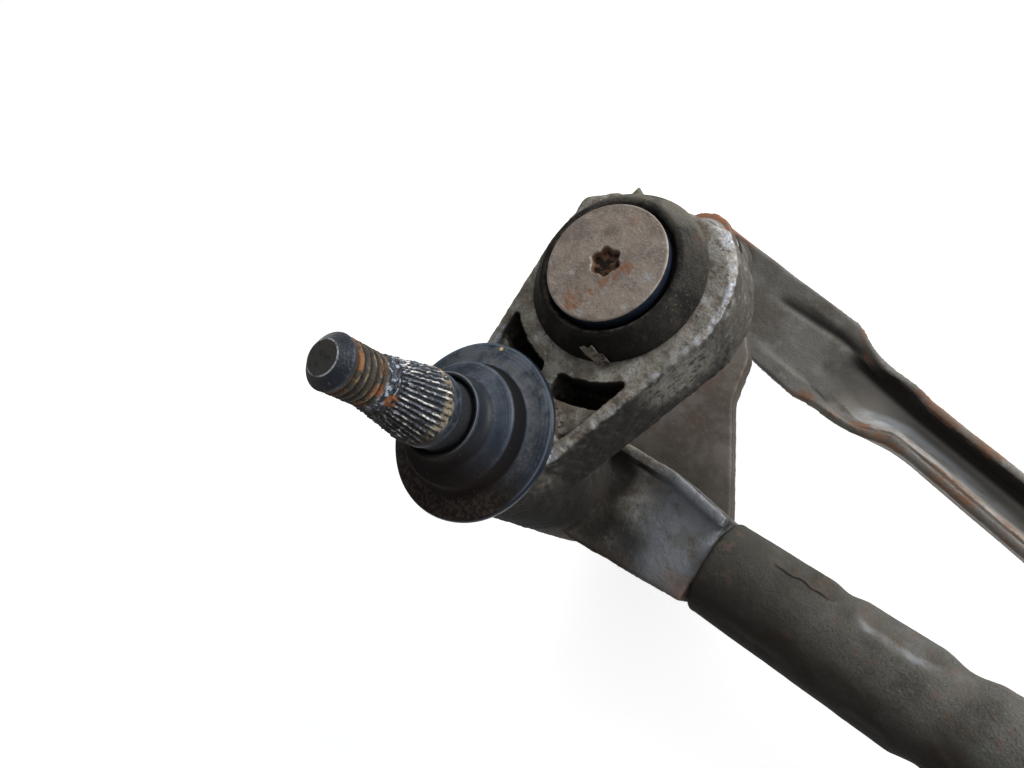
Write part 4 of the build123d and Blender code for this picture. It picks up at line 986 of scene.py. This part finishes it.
# die-cast pivot housings
casting = {
    "voxel": 0.4,
    "rounds": 7,
    "capSeat": -24.3,
    "rootTop": -50,
    "foot": -66,
    # the eye's rim has a corner at one place and draws in beside it: push, angle, half width
    "rimMoves": ((1.5, 143.0, 11.0), (-0.9, 121.0, 13.0), (-1.1, 43.0, 24.0)),
    "rimReach": (14.6, 15.8, 18.5, 20.0),
    # pits in the skin, coarse to fine: how close they lie, shift of the noise, depth
    "pits": ((0.32, (0, 0, 0), 0.14), (0.9, (31, 7, 3), 0.12), (2.1, (3, 17, 8), 0.07)),
    # share of the pits on the root, which is smoother
    "calm": 0.35,
    "finish": {
        "colour": paint(146, 142, 133),
        "rough": 0.6,
        "metal": 0.15,
        "fixed": {"Specular IOR Level": 0.3},
        "layers": (
            coat((112, 104, 93), speckle(300, 0.4, 0.6), rough=0.75, metal=0.1),
            coat((170, 169, 166), speckle(230, 0.54, 0.7), rough=0.5, metal=0.3),
            # fine mottling of corroded metal
            coat((78, 71, 62), speckle(650, 0.48, 0.68, grit=0.75), rough=0.95, amount=0.8),
            coat((64, 56, 47), speckle(1900, 0.52, 0.68, grit=0.75), rough=0.95, amount=0.6),
            coat(
                (182, 180, 173), speckle(1100, 0.55, 0.7, shift=(0.5, 0.2, 0.1), grit=0.75),
                rough=0.5, metal=0.3, amount=0.6,
            ),
            # painted highlight: silver and blue on the rounded outer edge that faces the lamp
            coat(
                (176, 184, 198), facing((0.7, 0.2, 0.7), 0.68, 0.9), speckle(260, 0.46, 0.58),
                speckle(1100, 0.36, 0.6, grit=0.75), level(-34, -31),
                nearSpot((5.35, 34.4, -27.0), 15.5, 18.5), rough=0.34, metal=0.6, amount=0.8,
            ),
            # painted shade: the sides darker brown, darkest on the -Y side and below
            grime(
                (40, 36, 30), 0.9, facing((0, 0, 1), 0.66, 0.28), speckle(420, 0.2, 0.5, grit=0.75),
                amount=0.88,
            ),
            grime((17, 13, 10), 0.95, facing((0.1, -1.0, -0.1), 0.0, 0.5), amount=0.93),
            grime((20, 16, 13), 0.9, level(-36, -50), facing((0, 0, 1), 0.45, 0.2), amount=0.75),
            # the eye's wall is lighter and gritty towards the lever
            coat(
                (120, 116, 108), nearSpot((22.5, 25.0, -33.0), 9.5, 3.0),
                speckle(500, 0.34, 0.56, grit=0.75), level(-42, -36), rough=0.7, metal=0.1,
                amount=0.7,
            ),
            # rough grey-brown in the shallow pocket, black painted shade in the deep ones
            grime(
                (104, 95, 82), 0.9, level(-28.6, -29.2), facing((0, 0, 1), 0.1, 0.6),
                level(-45, -42), speckle(900, 0.3, 0.5), amount=0.7,
            ),
            grime(
                (24, 19, 15), 0.95, level(-29.8, -32.5), level(-42.5, -41),
                nearSpot((5.35, 34.4, -36.0), 24.0, 22.5), level(30, 26, "Y"),
                facing((0.62, -0.78, 0.0), 0.5, 0.2),
            ),
            # darker along hollow edges, where pointiness is low: painted shade
            grime((40, 34, 28), 0.95, edges(0.49, 0.46)),
            # smooth, blue-grey root towards the tube
            coat(
                (112, 116, 122), level(16.5, 25, "X"), level(-50, -52.5),
                facing((0, 0, 1), 0.0, 0.4), rough=0.55, metal=0.15, amount=0.92,
            ),
            coat(
                (96, 96, 94), speckle(200, 0.46, 0.62), level(-51, -52.5), level(11.5, 16, "X"),
                rough=0.6, metal=0.1, amount=0.7,
            ),
            grime(
                (78, 70, 62), 0.8, speckle(150, 0.5, 0.64, shift=(0.4, 0.2, 0.0), grit=0.7),
                level(-51, -52.5), level(18, 24, "X"), amount=0.65,
            ),
            # darker in the hollow low on the root: painted shade
            coat(
                (24, 26, 24), nearSpot((19.0, -5.0, -54.0), 9.5, 3.0),
                speckle(260, 0.2, 0.5, grit=0.7), rough=0.9, amount=0.85,
            ),
            coat(
                (82, 82, 80), level(-53.3, -52.4), level(13.5, 15.5, "X"), level(19, 17, "Y"),
                level(-48.5, -49.5), speckle(300, 0.24, 0.5, grit=0.7), rough=0.8, amount=0.85,
            ),
            # darker where the boss meets the root, on its upper side: painted shade
            grime((38, 36, 31), 0.9, nearSpot((12.0, 6.0, -55.0), 6.5, 3.5), amount=0.9),
            # painted shade: brown towards the lower edge, and darker where the boss meets the root
            grime(
                (62, 52, 44), 0.85, level(-2.5, -8.5, "Y"), level(-50, -52.5),
                speckle(220, 0.3, 0.55, grit=0.7), amount=0.75,
            ),
            grime((38, 33, 28), 0.9, nearSpot((12.0, -2.0, -55.0), 8.0, 4.0), amount=0.85),
            grime(
                (112, 84, 66), 0.8, nearSpot((34.0, -3.5, -54.0), 6.0, 1.5), speckle(300, 0.4, 0.6),
                amount=0.6,
            ),
            # near black on the boss's lower side, against the light from the floor: painted shade
            grime((13, 9, 6), 1.0, nearSpot((11.0, -5.5, -42.0), 12.0, 6.0), amount=0.8),
            # an orange speck of rust in the slot
            grime(
                (150, 88, 46), 0.9, nearSpot((15.6, 18.0, -31.0), 1.1, 0.5),
                speckle(900, 0.4, 0.52),
            ),
        ),
        "grain": (
            grain(2400, 0.1, 0.55, level(-54, -50)),
            grain(700, 0.16, 0.5, grit=0.75),
            grain(240, 0.3, 0.4),
        ),
    },
}


def pitSkin(spot, side):
    # the faces under the cap and above the lever stay true
    if spot.z > casting["capSeat"] or (side.z < 0.2 and spot.z < casting["foot"]):
        return Vector(), {}
    flip = 1 if spot.x < middleX else -1
    fromEye = Vector((flip * (spot.x - eyeX["a" if flip > 0 else "b"]), spot.y - eyeY, 0))
    turn = degrees(atan2(fromEye.y, fromEye.x))
    push = sum(size * bump(turn, *place) for size, *place in casting["rimMoves"])
    push *= between(fromEye.length, *casting["rimReach"]) * smoothStep(-40.0, -32.0, spot.z)
    rim = Vector((flip * fromEye.x, fromEye.y, 0)).normalized() * push
    calm = casting["calm"] if spot.z < casting["rootTop"] and side.z > 0.3 else 1.0
    pits = 0.0
    for scale, shift, depth in casting["pits"]:
        pits += depth * noise.noise(spot * scale + Vector(shift))
    return rim + side * calm * pits, {}


castFinish = makeFinish("corrodedCasting", casting["finish"])
for side in "ab":
    node, name = "pivot_housing_" + side, "castHousing_" + side
    softened(node, name, casting["voxel"], casting["rounds"], castFinish, pitSkin)
print("castings softened")


# levers and link rods, pressed from strip
pressed = {
    "leverVoxel": 0.5,
    "rodVoxel": 0.42,
    "rounds": 4,
    # rod's line from the lever's ball to the crank's, at the top of its web
    "rodStart": {"a": (-8.2, 61.46, -86.2), "b": (491.8, 61.46, -86.2)},
    "rodEnd": {"a": (251.6, -14.9, -86.2), "b": (251.6, -14.9, -100.2)},
    "rodThick": 1.8,
    # where the flat end folds up into the channel, and how far across its web swells
    "knee": 36.0,
    "swellEdge": 1.8,
    # half width and height of what counts as the channel's inside
    "inside": (4.6, 6.4),
    # the flanges draw in from here: side, how far, middle and half length, fade
    "drawnFrom": 3.0,
    "drawn": ((1, 1.7, 45.0, 11.0, 3.5), (-1, 1.6, 51.0, 13.0, 2.5)),
    # by the way from the ball: lower and upper rim, web's rise, width of the lower wall
    "curves": (
        ((36, 46, 58), (-9.6, -8.2, -4.4)),
        ((36, 42, 48, 58), (9.4, 7.0, 5.6, 4.2)),
        ((36, 41, 46, 58), (0.0, 1.6, 4.0, 6.7)),
        ((36, 46, 58), (9.0, 7.4, 3.2)),
    ),
    "lever": {
        "colour": paint(114, 107, 100),
        "rough": 0.7,
        "metal": 0.05,
        "fixed": {"Specular IOR Level": 0.12},
        "layers": (
            coat((88, 82, 75), speckle(120, 0.4, 0.65), rough=0.7),
            coat((118, 111, 105), speckle(700, 0.5, 0.7), amount=0.5),
            # darker towards the lower part, by the tube: painted shade
            coat((74, 70, 64), level(22, 12, "Y"), amount=0.6),
            grime((116, 88, 72), 0.85, speckle(60, 0.52, 0.7), amount=0.6),
            # rusty round the ball stud; painted shade on the edges and below
            grime(
                (146, 104, 80), 0.9, nearSpot((-11.0, 69.0, -73.0), 12.0, 6.0),
                speckle(240, 0.25, 0.5),
            ),
            grime((48, 43, 38), 0.9, facing((0, 0, 1), 0.9, 0.4), amount=0.75),
        ),
        "grain": (
            grain(2400, 0.03, 0.5),
            grain(200, 0.15, 0.35),
        ),
    },
    "rod": {
        "colour": paint(108, 105, 100),
        "rough": 0.6,
        "metal": 0.15,
        "fixed": {"Specular IOR Level": 0.35},
        "layers": (
            coat((92, 88, 82), speckle(110, 0.4, 0.62), rough=0.7),
            coat((126, 124, 122), speckle(150, 0.56, 0.7), rough=0.5, amount=0.8),
            grime((82, 72, 63), 0.9, speckle(1500, 0.58, 0.68), amount=0.5),
            # web of the channel, painted paler as light, with a painted bluish highlight at its
            # lower flange
            coat((150, 145, 138), marked("web", 0.1, 0.9), amount=0.85),
            coat(
                (204, 207, 212), marked("sheen", 0.1, 0.8),
                speckle(130, 0.3, 0.55, stretch=(0.5, 1, 1)), rough=0.45, metal=0.15, amount=0.92,
            ),
            # creases and the inside of the upper flange, painted black as shade
            grime((22, 18, 14), 0.9, marked("crease", 0.1, 0.9), amount=0.93),
            # rust along the edges and over the corner beyond the ball
            grime(
                (116, 86, 67), 0.9, marked("rust", 0.2, 0.8),
                speckle(280, 0.43, 0.6, stretch=(0.6, 1, 1), grit=0.75), amount=0.9,
            ),
            grime(
                (146, 104, 80), 0.9, nearSpot((-13.0, 74.0, -85.0), 14.0, 6.0),
                speckle(200, 0.25, 0.5),
            ),
            # darker on the underside: painted shade
            grime((34, 30, 26), 0.95, facing((0, 0, 1), 0.0, -0.7), amount=0.8),
        ),
        "grain": (
            grain(2200, 0.04, 0.6),
            grain(240, 0.2, 0.35),
        ),
    },
}


def pressedSkin(spot, side):
    return side * 0.1 * noise.noise(spot * 0.12), {}


def rodSkin(letter):
    start, end = (Vector(pressed[key][letter]) for key in ("rodStart", "rodEnd"))
    length = (end - start).length
    along = (end - start).normalized()
    across = Vector((-along.y, along.x, 0)).normalized()
    if across.y < 0:
        across = -across
    above = along.cross(across)
    if above.z < 0:
        above = -above
    knee = pressed["knee"]

    def moveSkin(spot, side):
        # near is the way from the closer ball, aside the way across, height that over the web
        here = spot - start
        reach, aside, height = here.dot(along), here.dot(across), here.dot(above)
        near = min(reach, length - reach)
        lowRim, topRim, rise, wallTop = (curveAt(near, curve) for curve in pressed["curves"])
        upper = side.dot(above)
        move = side * 0.1 * noise.noise(spot * 0.14)
        halfInside, insideTop = pressed["inside"]
        inside = upper > 0.12 and abs(aside) < halfInside and height < insideTop
        # the strips beside the fold stay flat until the flanges rise
        if near > 18 and abs(aside) > 5:
            stands = max(0.0, height + (pressed["rodThick"] if upper < 0 else 0.0) - 0.4)
            beside = smoothStep(45.0, 37.0, near) * smoothStep(5.0, 6.5, abs(aside))
            move -= above * 0.8 * stands * beside
        # the web swells up to the lower flange in an easy curve
        edge = pressed["swellEdge"]
        innerSide = upper > 0.08 or (side.dot(across) > 0.1 and aside < -1.5)
        if innerSide and near > knee and lowRim - 0.35 < aside < edge and height < 6.7:
            swell = rise * min(1.0, (edge - aside) / (edge + wallTop)) ** 1.7
            move += above * max(0.0, swell - height)
        if height > 2.0 and near > 30:
            ragged = waveAt(reach * 0.16, aside * 0.02, 4 if letter == "a" else 9)
            move += above * 0.4 * ragged * smoothStep(2.0, 6.0, height)
        # the upper flange closes in sooner, the lower one later
        for way, far, middle, half, fade in pressed["drawn"]:
            beyond = aside * way - pressed["drawnFrom"]
            if beyond > 0:
                move -= across * far * bump(near, middle, half) * min(1.0, beyond / fade)
        dimple = bump(sqrt((near - 37.0) ** 2 + (aside + 1.5) ** 2), 0, 2.4)
        fold = bump(aside, 4.4 + 0.1 * (near - 17.0), 1.9) * between(near, 14.0, 21.0, 38.0, 46.0)
        if upper > 0.3:
            move -= above * (0.35 * dimple + 0.45 * fold)
        # marks for the finish: rust on the rims, painted shade in the creases, painted highlight by
        # the lower flange
        begun = smoothStep(knee, 39.0, near) * (upper > 0.0)
        atTop = smoothStep(0.72, 0.95, height / max(rise, 0.5))
        rust = max(
            smoothStep(5.4, 6.4, height) * smoothStep(38.0, 46.0, near),
            smoothStep(8.4, 9.6, abs(aside)) * smoothStep(34.0, 38.0, near),
            bump(aside, lowRim + 0.9, 1.7) * begun,
            bump(aside, topRim - 0.3, 1.3) * begun * atTop,
        )
        # inside the upper flange: its inner wall and a band over it, painted as shade
        wall = smoothStep(0.75, 0.3, upper) * (side.dot(across) < -0.1) * (aside > 2.0)
        flangeShade = bump(aside, 0.5 * (topRim + 2.2), 0.5 * topRim) * (aside < topRim - 0.8)
        crease = max(
            fold * 0.75 * (upper > 0.2),
            wall * smoothStep(34.0, 40.0, near),
            0.3 * dimple,
            flangeShade * smoothStep(knee, 43.0, near) * (upper > 0.1),
        )
        # painted highlight along the web by the lower flange; the web's own mark carries painted
        # light, a paler coat
        sheen = bump(aside, lowRim + 3.3, 2.8) * between(near, 45.0, 55.0, 67.0, 90.0)
        web = float(inside) * smoothStep(knee, 56.0, near)
        return move, {"web": web, "sheen": sheen * (upper > 0.05), "crease": crease, "rust": rust}

    return moveSkin


leverFinish = makeFinish("dullLeverSteel", pressed["lever"])
rodFinish = makeFinish("rustyRodSteel", pressed["rod"])
for side in "ab":
    for node, name, voxel, finish, slot, skin in (
        ("spindle_lever_", "pressedLever_", "leverVoxel", leverFinish, "lever_steel", pressedSkin),
        ("link_rod_", "channelRod_", "rodVoxel", rodFinish, "rod_steel", rodSkin(side)),
    ):
        softened(node + side, name + side, pressed[voxel], pressed["rounds"], finish, skin)
print("levers and rods pressed")


# frame tube, crimped on its spigots
tube = {
    "y": 1.8,
    "z": -62.0,
    "radius": 9.0,
    "wall": 1.5,
    "start": 34.8,
    "end": 465.2,
    "steps": 112,
    # rows of points: close together up to fineEnd from each end, wide between
    "rowGap": 0.5,
    "fineEnd": 59.5,
    "wideRows": 60,
    "lip": ((0.0, -0.85), (0.06, -0.5), (0.25, -0.2), (0.6, 0.0), (1.0, 0.06)),
    "lipEnd": 1.4,
    # crimps: middle and half length from the end, angle of the wall and where they run out,
    # depth, half the wall's spread, and how wide it is marked, if it is
    "crimps": (
        (14.6, 6.8, 43, 0, 1.9, 4.0, 12.0),
        (30.2, 7.8, 49, 0, 1.5, 12.0, 16.0),
        (13.0, 8.0, 136, 178, 0.6, 12.0, None),
        (31.5, 4.5, 140, 178, 0.5, 12.0, None),
    ),
    # pinches: middle and half length, angle, half width in degrees or all round, depth
    "pinches": (
        (21.0, 3.2, 20, 70, 0.5),
        (39.8, 4.6, 90, None, 0.85),
    ),
    "finish": {
        "colour": paint(80, 79, 74),
        "rough": 0.85,
        "fixed": {"Specular IOR Level": 0.2},
        "layers": (
            coat((64, 62, 57), speckle(160, 0.42, 0.66), rough=0.85),
            coat((90, 90, 88), speckle(110, 0.54, 0.7), rough=0.75, amount=0.7),
            # darker towards the crimped end, gritty further on
            coat((48, 46, 41), level(70, 38, "X"), amount=0.8),
            coat((44, 40, 35), speckle(2300, 0.52, 0.64, grit=0.75), amount=0.6),
            coat(
                (112, 108, 103), speckle(2100, 0.57, 0.68, shift=(0.2, 0, 0.4), grit=0.75),
                level(45, 75, "X"), rough=0.9, amount=0.6,
            ),
            coat((84, 68, 58), speckle(420, 0.56, 0.68), rough=0.9, amount=0.5),
            # brown in the crimps; along their walls a dark line of painted shade up to X 53 mm, a
            # painted highlight from X 59 mm
            grime((76, 66, 57), 0.9, marked("dent", 0.2, 1.3), speckle(300, 0.4, 0.6), amount=0.6),
            grime(
                (12, 8, 6), 1.0, marked("wall", 0.15, 0.6), level(56.5, 53, "X"),
                speckle(420, 0.2, 0.36), amount=0.95,
            ),
            coat(
                (112, 114, 118), marked("wall", 0.1, 0.9), level(55, 59, "X"),
                speckle(240, 0.36, 0.62, grit=0.7), rough=0.6, metal=0.1, amount=0.75,
            ),
            # brown, streaked and darker on the -Y side: painted shade
            coat(
                (44, 31, 22), facing((0, -0.85, -0.1), 0.0, 0.5),
                speckle(90, 0.46, 0.6, stretch=(0.6, 1, 1)), amount=0.8,
            ),
            # black-brown painted shade along the lower side
            grime((24, 17, 11), 0.9, facing((0, -0.85, -0.5), -0.5, 0.45), amount=0.94),
        ),
        "grain": (
            grain(2400, 0.07, 0.8),
            grain(420, 0.12, 0.45),
        ),
    },
}


def crimpDepth(near, turn):
    # a crimp drops steeply at its wall and runs out softly the other way
    sunk = wall = 0.0
    for middle, half, wallAngle, endAngle, depth, spread, mark in tube["crimps"]:
        ends = smoothStep(1.0, 0.45, abs(near - middle) / half)
        way = 1 if endAngle > wallAngle else -1
        inside = (turn - wallAngle) * way + 3.5 * waveAt(near * 0.45, wallAngle, 3)
        ease = smoothStep(abs(endAngle - wallAngle), 6.0, inside)
        sunk = max(sunk, depth * ends * smoothStep(-spread, spread, inside) * ease)
        if mark:
            wall = max(wall, ends * bump(inside, 0.0, mark))
    for middle, half, angle, width, depth in tube["pinches"]:
        gap = abs((turn - angle + 180) % 360 - 180)
        share = smoothStep(width, width * 0.4, gap) if width else 1.0
        sunk += depth * bump(near, middle, half) * share
    return sunk, wall


def makeTube():
    length = tube["end"] - tube["start"]
    steps, fineEnd, wideRows = tube["steps"], tube["fineEnd"], tube["wideRows"]
    fineRows = round(fineEnd / tube["rowGap"])
    fine = [round(tube["rowGap"] * step, 3) for step in range(fineRows + 1)]
    wide = [fineEnd + step * (length - 2 * fineEnd) / wideRows for step in range(wideRows + 1)]
    reach = sorted(set(fine + wide + [round(length - along, 3) for along in fine]))
    verts, rows = [], []
    marks = {"dent": [], "wall": []}

    def addRow(along, radius, outside):
        near = min(along, length - along)
        row = []
        for step in range(steps):
            angle = 2 * pi * step / steps
            sunk, wall = crimpDepth(near, step * 360 / steps)
            spot = Vector((along * 0.2, cos(angle) * 2.4, sin(angle) * 2.4))
            lump = 0.09 * noise.noise(spot) + 0.04 * noise.noise(spot * 4) if outside else 0.0
            r = radius - sunk + lump
            row.append(len(verts))
            y, z = tube["y"] + r * cos(angle), tube["z"] + r * sin(angle)
            verts.append(((tube["start"] + along) * mm, y * mm, z * mm))
            marks["dent"].append(sunk)
            marks["wall"].append(wall)
        rows.append(row)

    for along, lift in tube["lip"]:
        addRow(along, tube["radius"] + lift, True)
    for along in reach:
        if tube["lipEnd"] < along < length - tube["lipEnd"]:
            addRow(along, tube["radius"], True)
    for along, lift in reversed(tube["lip"]):
        addRow(length - along, tube["radius"] + lift, True)
    for along in reversed(reach):
        addRow(along, tube["radius"] - tube["wall"], False)
    faces = []
    for first, second in zip(rows, rows[1:] + rows[:1]):
        for step in range(steps):
            after = (step + 1) % steps
            faces.append((first[step], first[after], second[after], second[step]))
    makePiece("crimpedTube", verts, faces, "frame", tubeFinish, ["frame_tube"], marks)


tubeFinish = makeFinish("dullTubeCoat", tube["finish"])
makeTube()
print("tube crimped")


# finishes of the other parts, by the record's slots
def plain(colour, rough, metal, dirtAndShade, scale=200, depth=0.05):
    return {
        "colour": paint(*colour),
        "rough": rough,
        "metal": metal,
        "layers": (
            coat(dirtAndShade, speckle(scale, 0.45, 0.68), rough=min(1.0, rough + 0.2)),
            coat(dirtAndShade, speckle(2000, 0.6, 0.7), amount=0.5),
            # darker along hollow edges: painted shade
            coat(dirtAndShade, edges(0.49, 0.46), rough=min(1.0, rough + 0.3)),
        ),
        "grain": (grain(1600, depth, 0.5), grain(260, depth * 2, 0.4)),
    }


# colour, roughness, metal, dirt colour, also painted as shade in hollow edges, and the dirt's scale
# and depth
slotCoats = {
    "dark_steel": ((46, 50, 58), 0.45, 0.5, (74, 66, 58)),
    "spring_steel": ((110, 110, 112), 0.35, 0.9, (70, 62, 54)),
    "bronze": ((168, 132, 84), 0.5, 0.8, (96, 76, 52)),
    "white_plastic": ((226, 220, 204), 0.45, 0.0, (196, 186, 160)),
    "bright_steel": ((160, 160, 160), 0.35, 0.85, (104, 92, 80)),
    "zinc_steel": ((150, 146, 136), 0.42, 0.75, (96, 84, 70)),
    "screw_steel": ((120, 109, 99), 0.55, 0.4, (86, 72, 60)),
    "tube_paint": ((76, 75, 70), 0.78, 0.05, (52, 47, 41), 110, 0.08),
    "black_plastic": ((44, 44, 46), 0.5, 0.0, (66, 62, 58), 90, 0.04),
    "brass": ((206, 182, 112), 0.3, 0.9, (150, 124, 72)),
    "core_steel": ((122, 122, 124), 0.5, 0.8, (84, 80, 76)),
    "copper": ((196, 112, 66), 0.35, 0.8, (140, 76, 44)),
    "can_paint": ((46, 46, 48), 0.38, 0.2, (70, 63, 56), 60, 0.04),
    "magnet": ((84, 84, 86), 0.7, 0.2, (60, 58, 56)),
    "carbon": ((52, 52, 54), 0.6, 0.1, (36, 36, 38)),
    "socket_plastic": ((62, 56, 50), 0.55, 0.0, (88, 80, 70), 160, 0.05),
}
slotLooks = {slot: plain(*values) for slot, values in slotCoats.items()}
# the gear housing has the pivot castings' general layers, with their painted shade on the sides,
# without those laid at a place
castLook = casting["finish"]
castLayers = castLook["layers"][:5] + castLook["layers"][6:7]
slotLooks["cast_alloy"] = dict(castLook, layers=castLayers, grain=castLook["grain"][1:])
slotLooks.update(
    cap_rubber=cap["finish"],
    lever_steel=pressed["lever"],
    grommet_rubber=grommet["finish"],
    rod_steel=pressed["rod"],
)
slotFinishes = {slot: makeFinish("solid_" + slot, look) for slot, look in slotLooks.items()}
for part in frame["record"]["subparts"]:
    keptPart = nodes[part["node"]]
    keptPart.data.materials.clear()
    keptPart.data.materials.append(slotFinishes[part["material_slot"]])
print("finishes laid on the kept solids")


# motor, gearbox and bracket with their edges worn round
farParts = (
    ("gear_housing", "gearCasting", 0.6, 4),
    ("gear_cover", "gearLid", 0.5, 3),
    ("motor_can", "motorShell", 0.5, 4),
    ("motor_bracket", "bentBracket", 0.5, 3),
    ("crank_arm", "pressedCrank", 0.4, 4),
)


def rippled(spot, side):
    return side * (0.07 * noise.noise(spot * 0.1) + 0.03 * noise.noise(spot * 0.5)), {}


for node, name, voxel, rounds in farParts:
    softened(node, name, voxel, rounds, nodes[node].data.materials[0], rippled)
print("motor, gearbox and bracket softened")
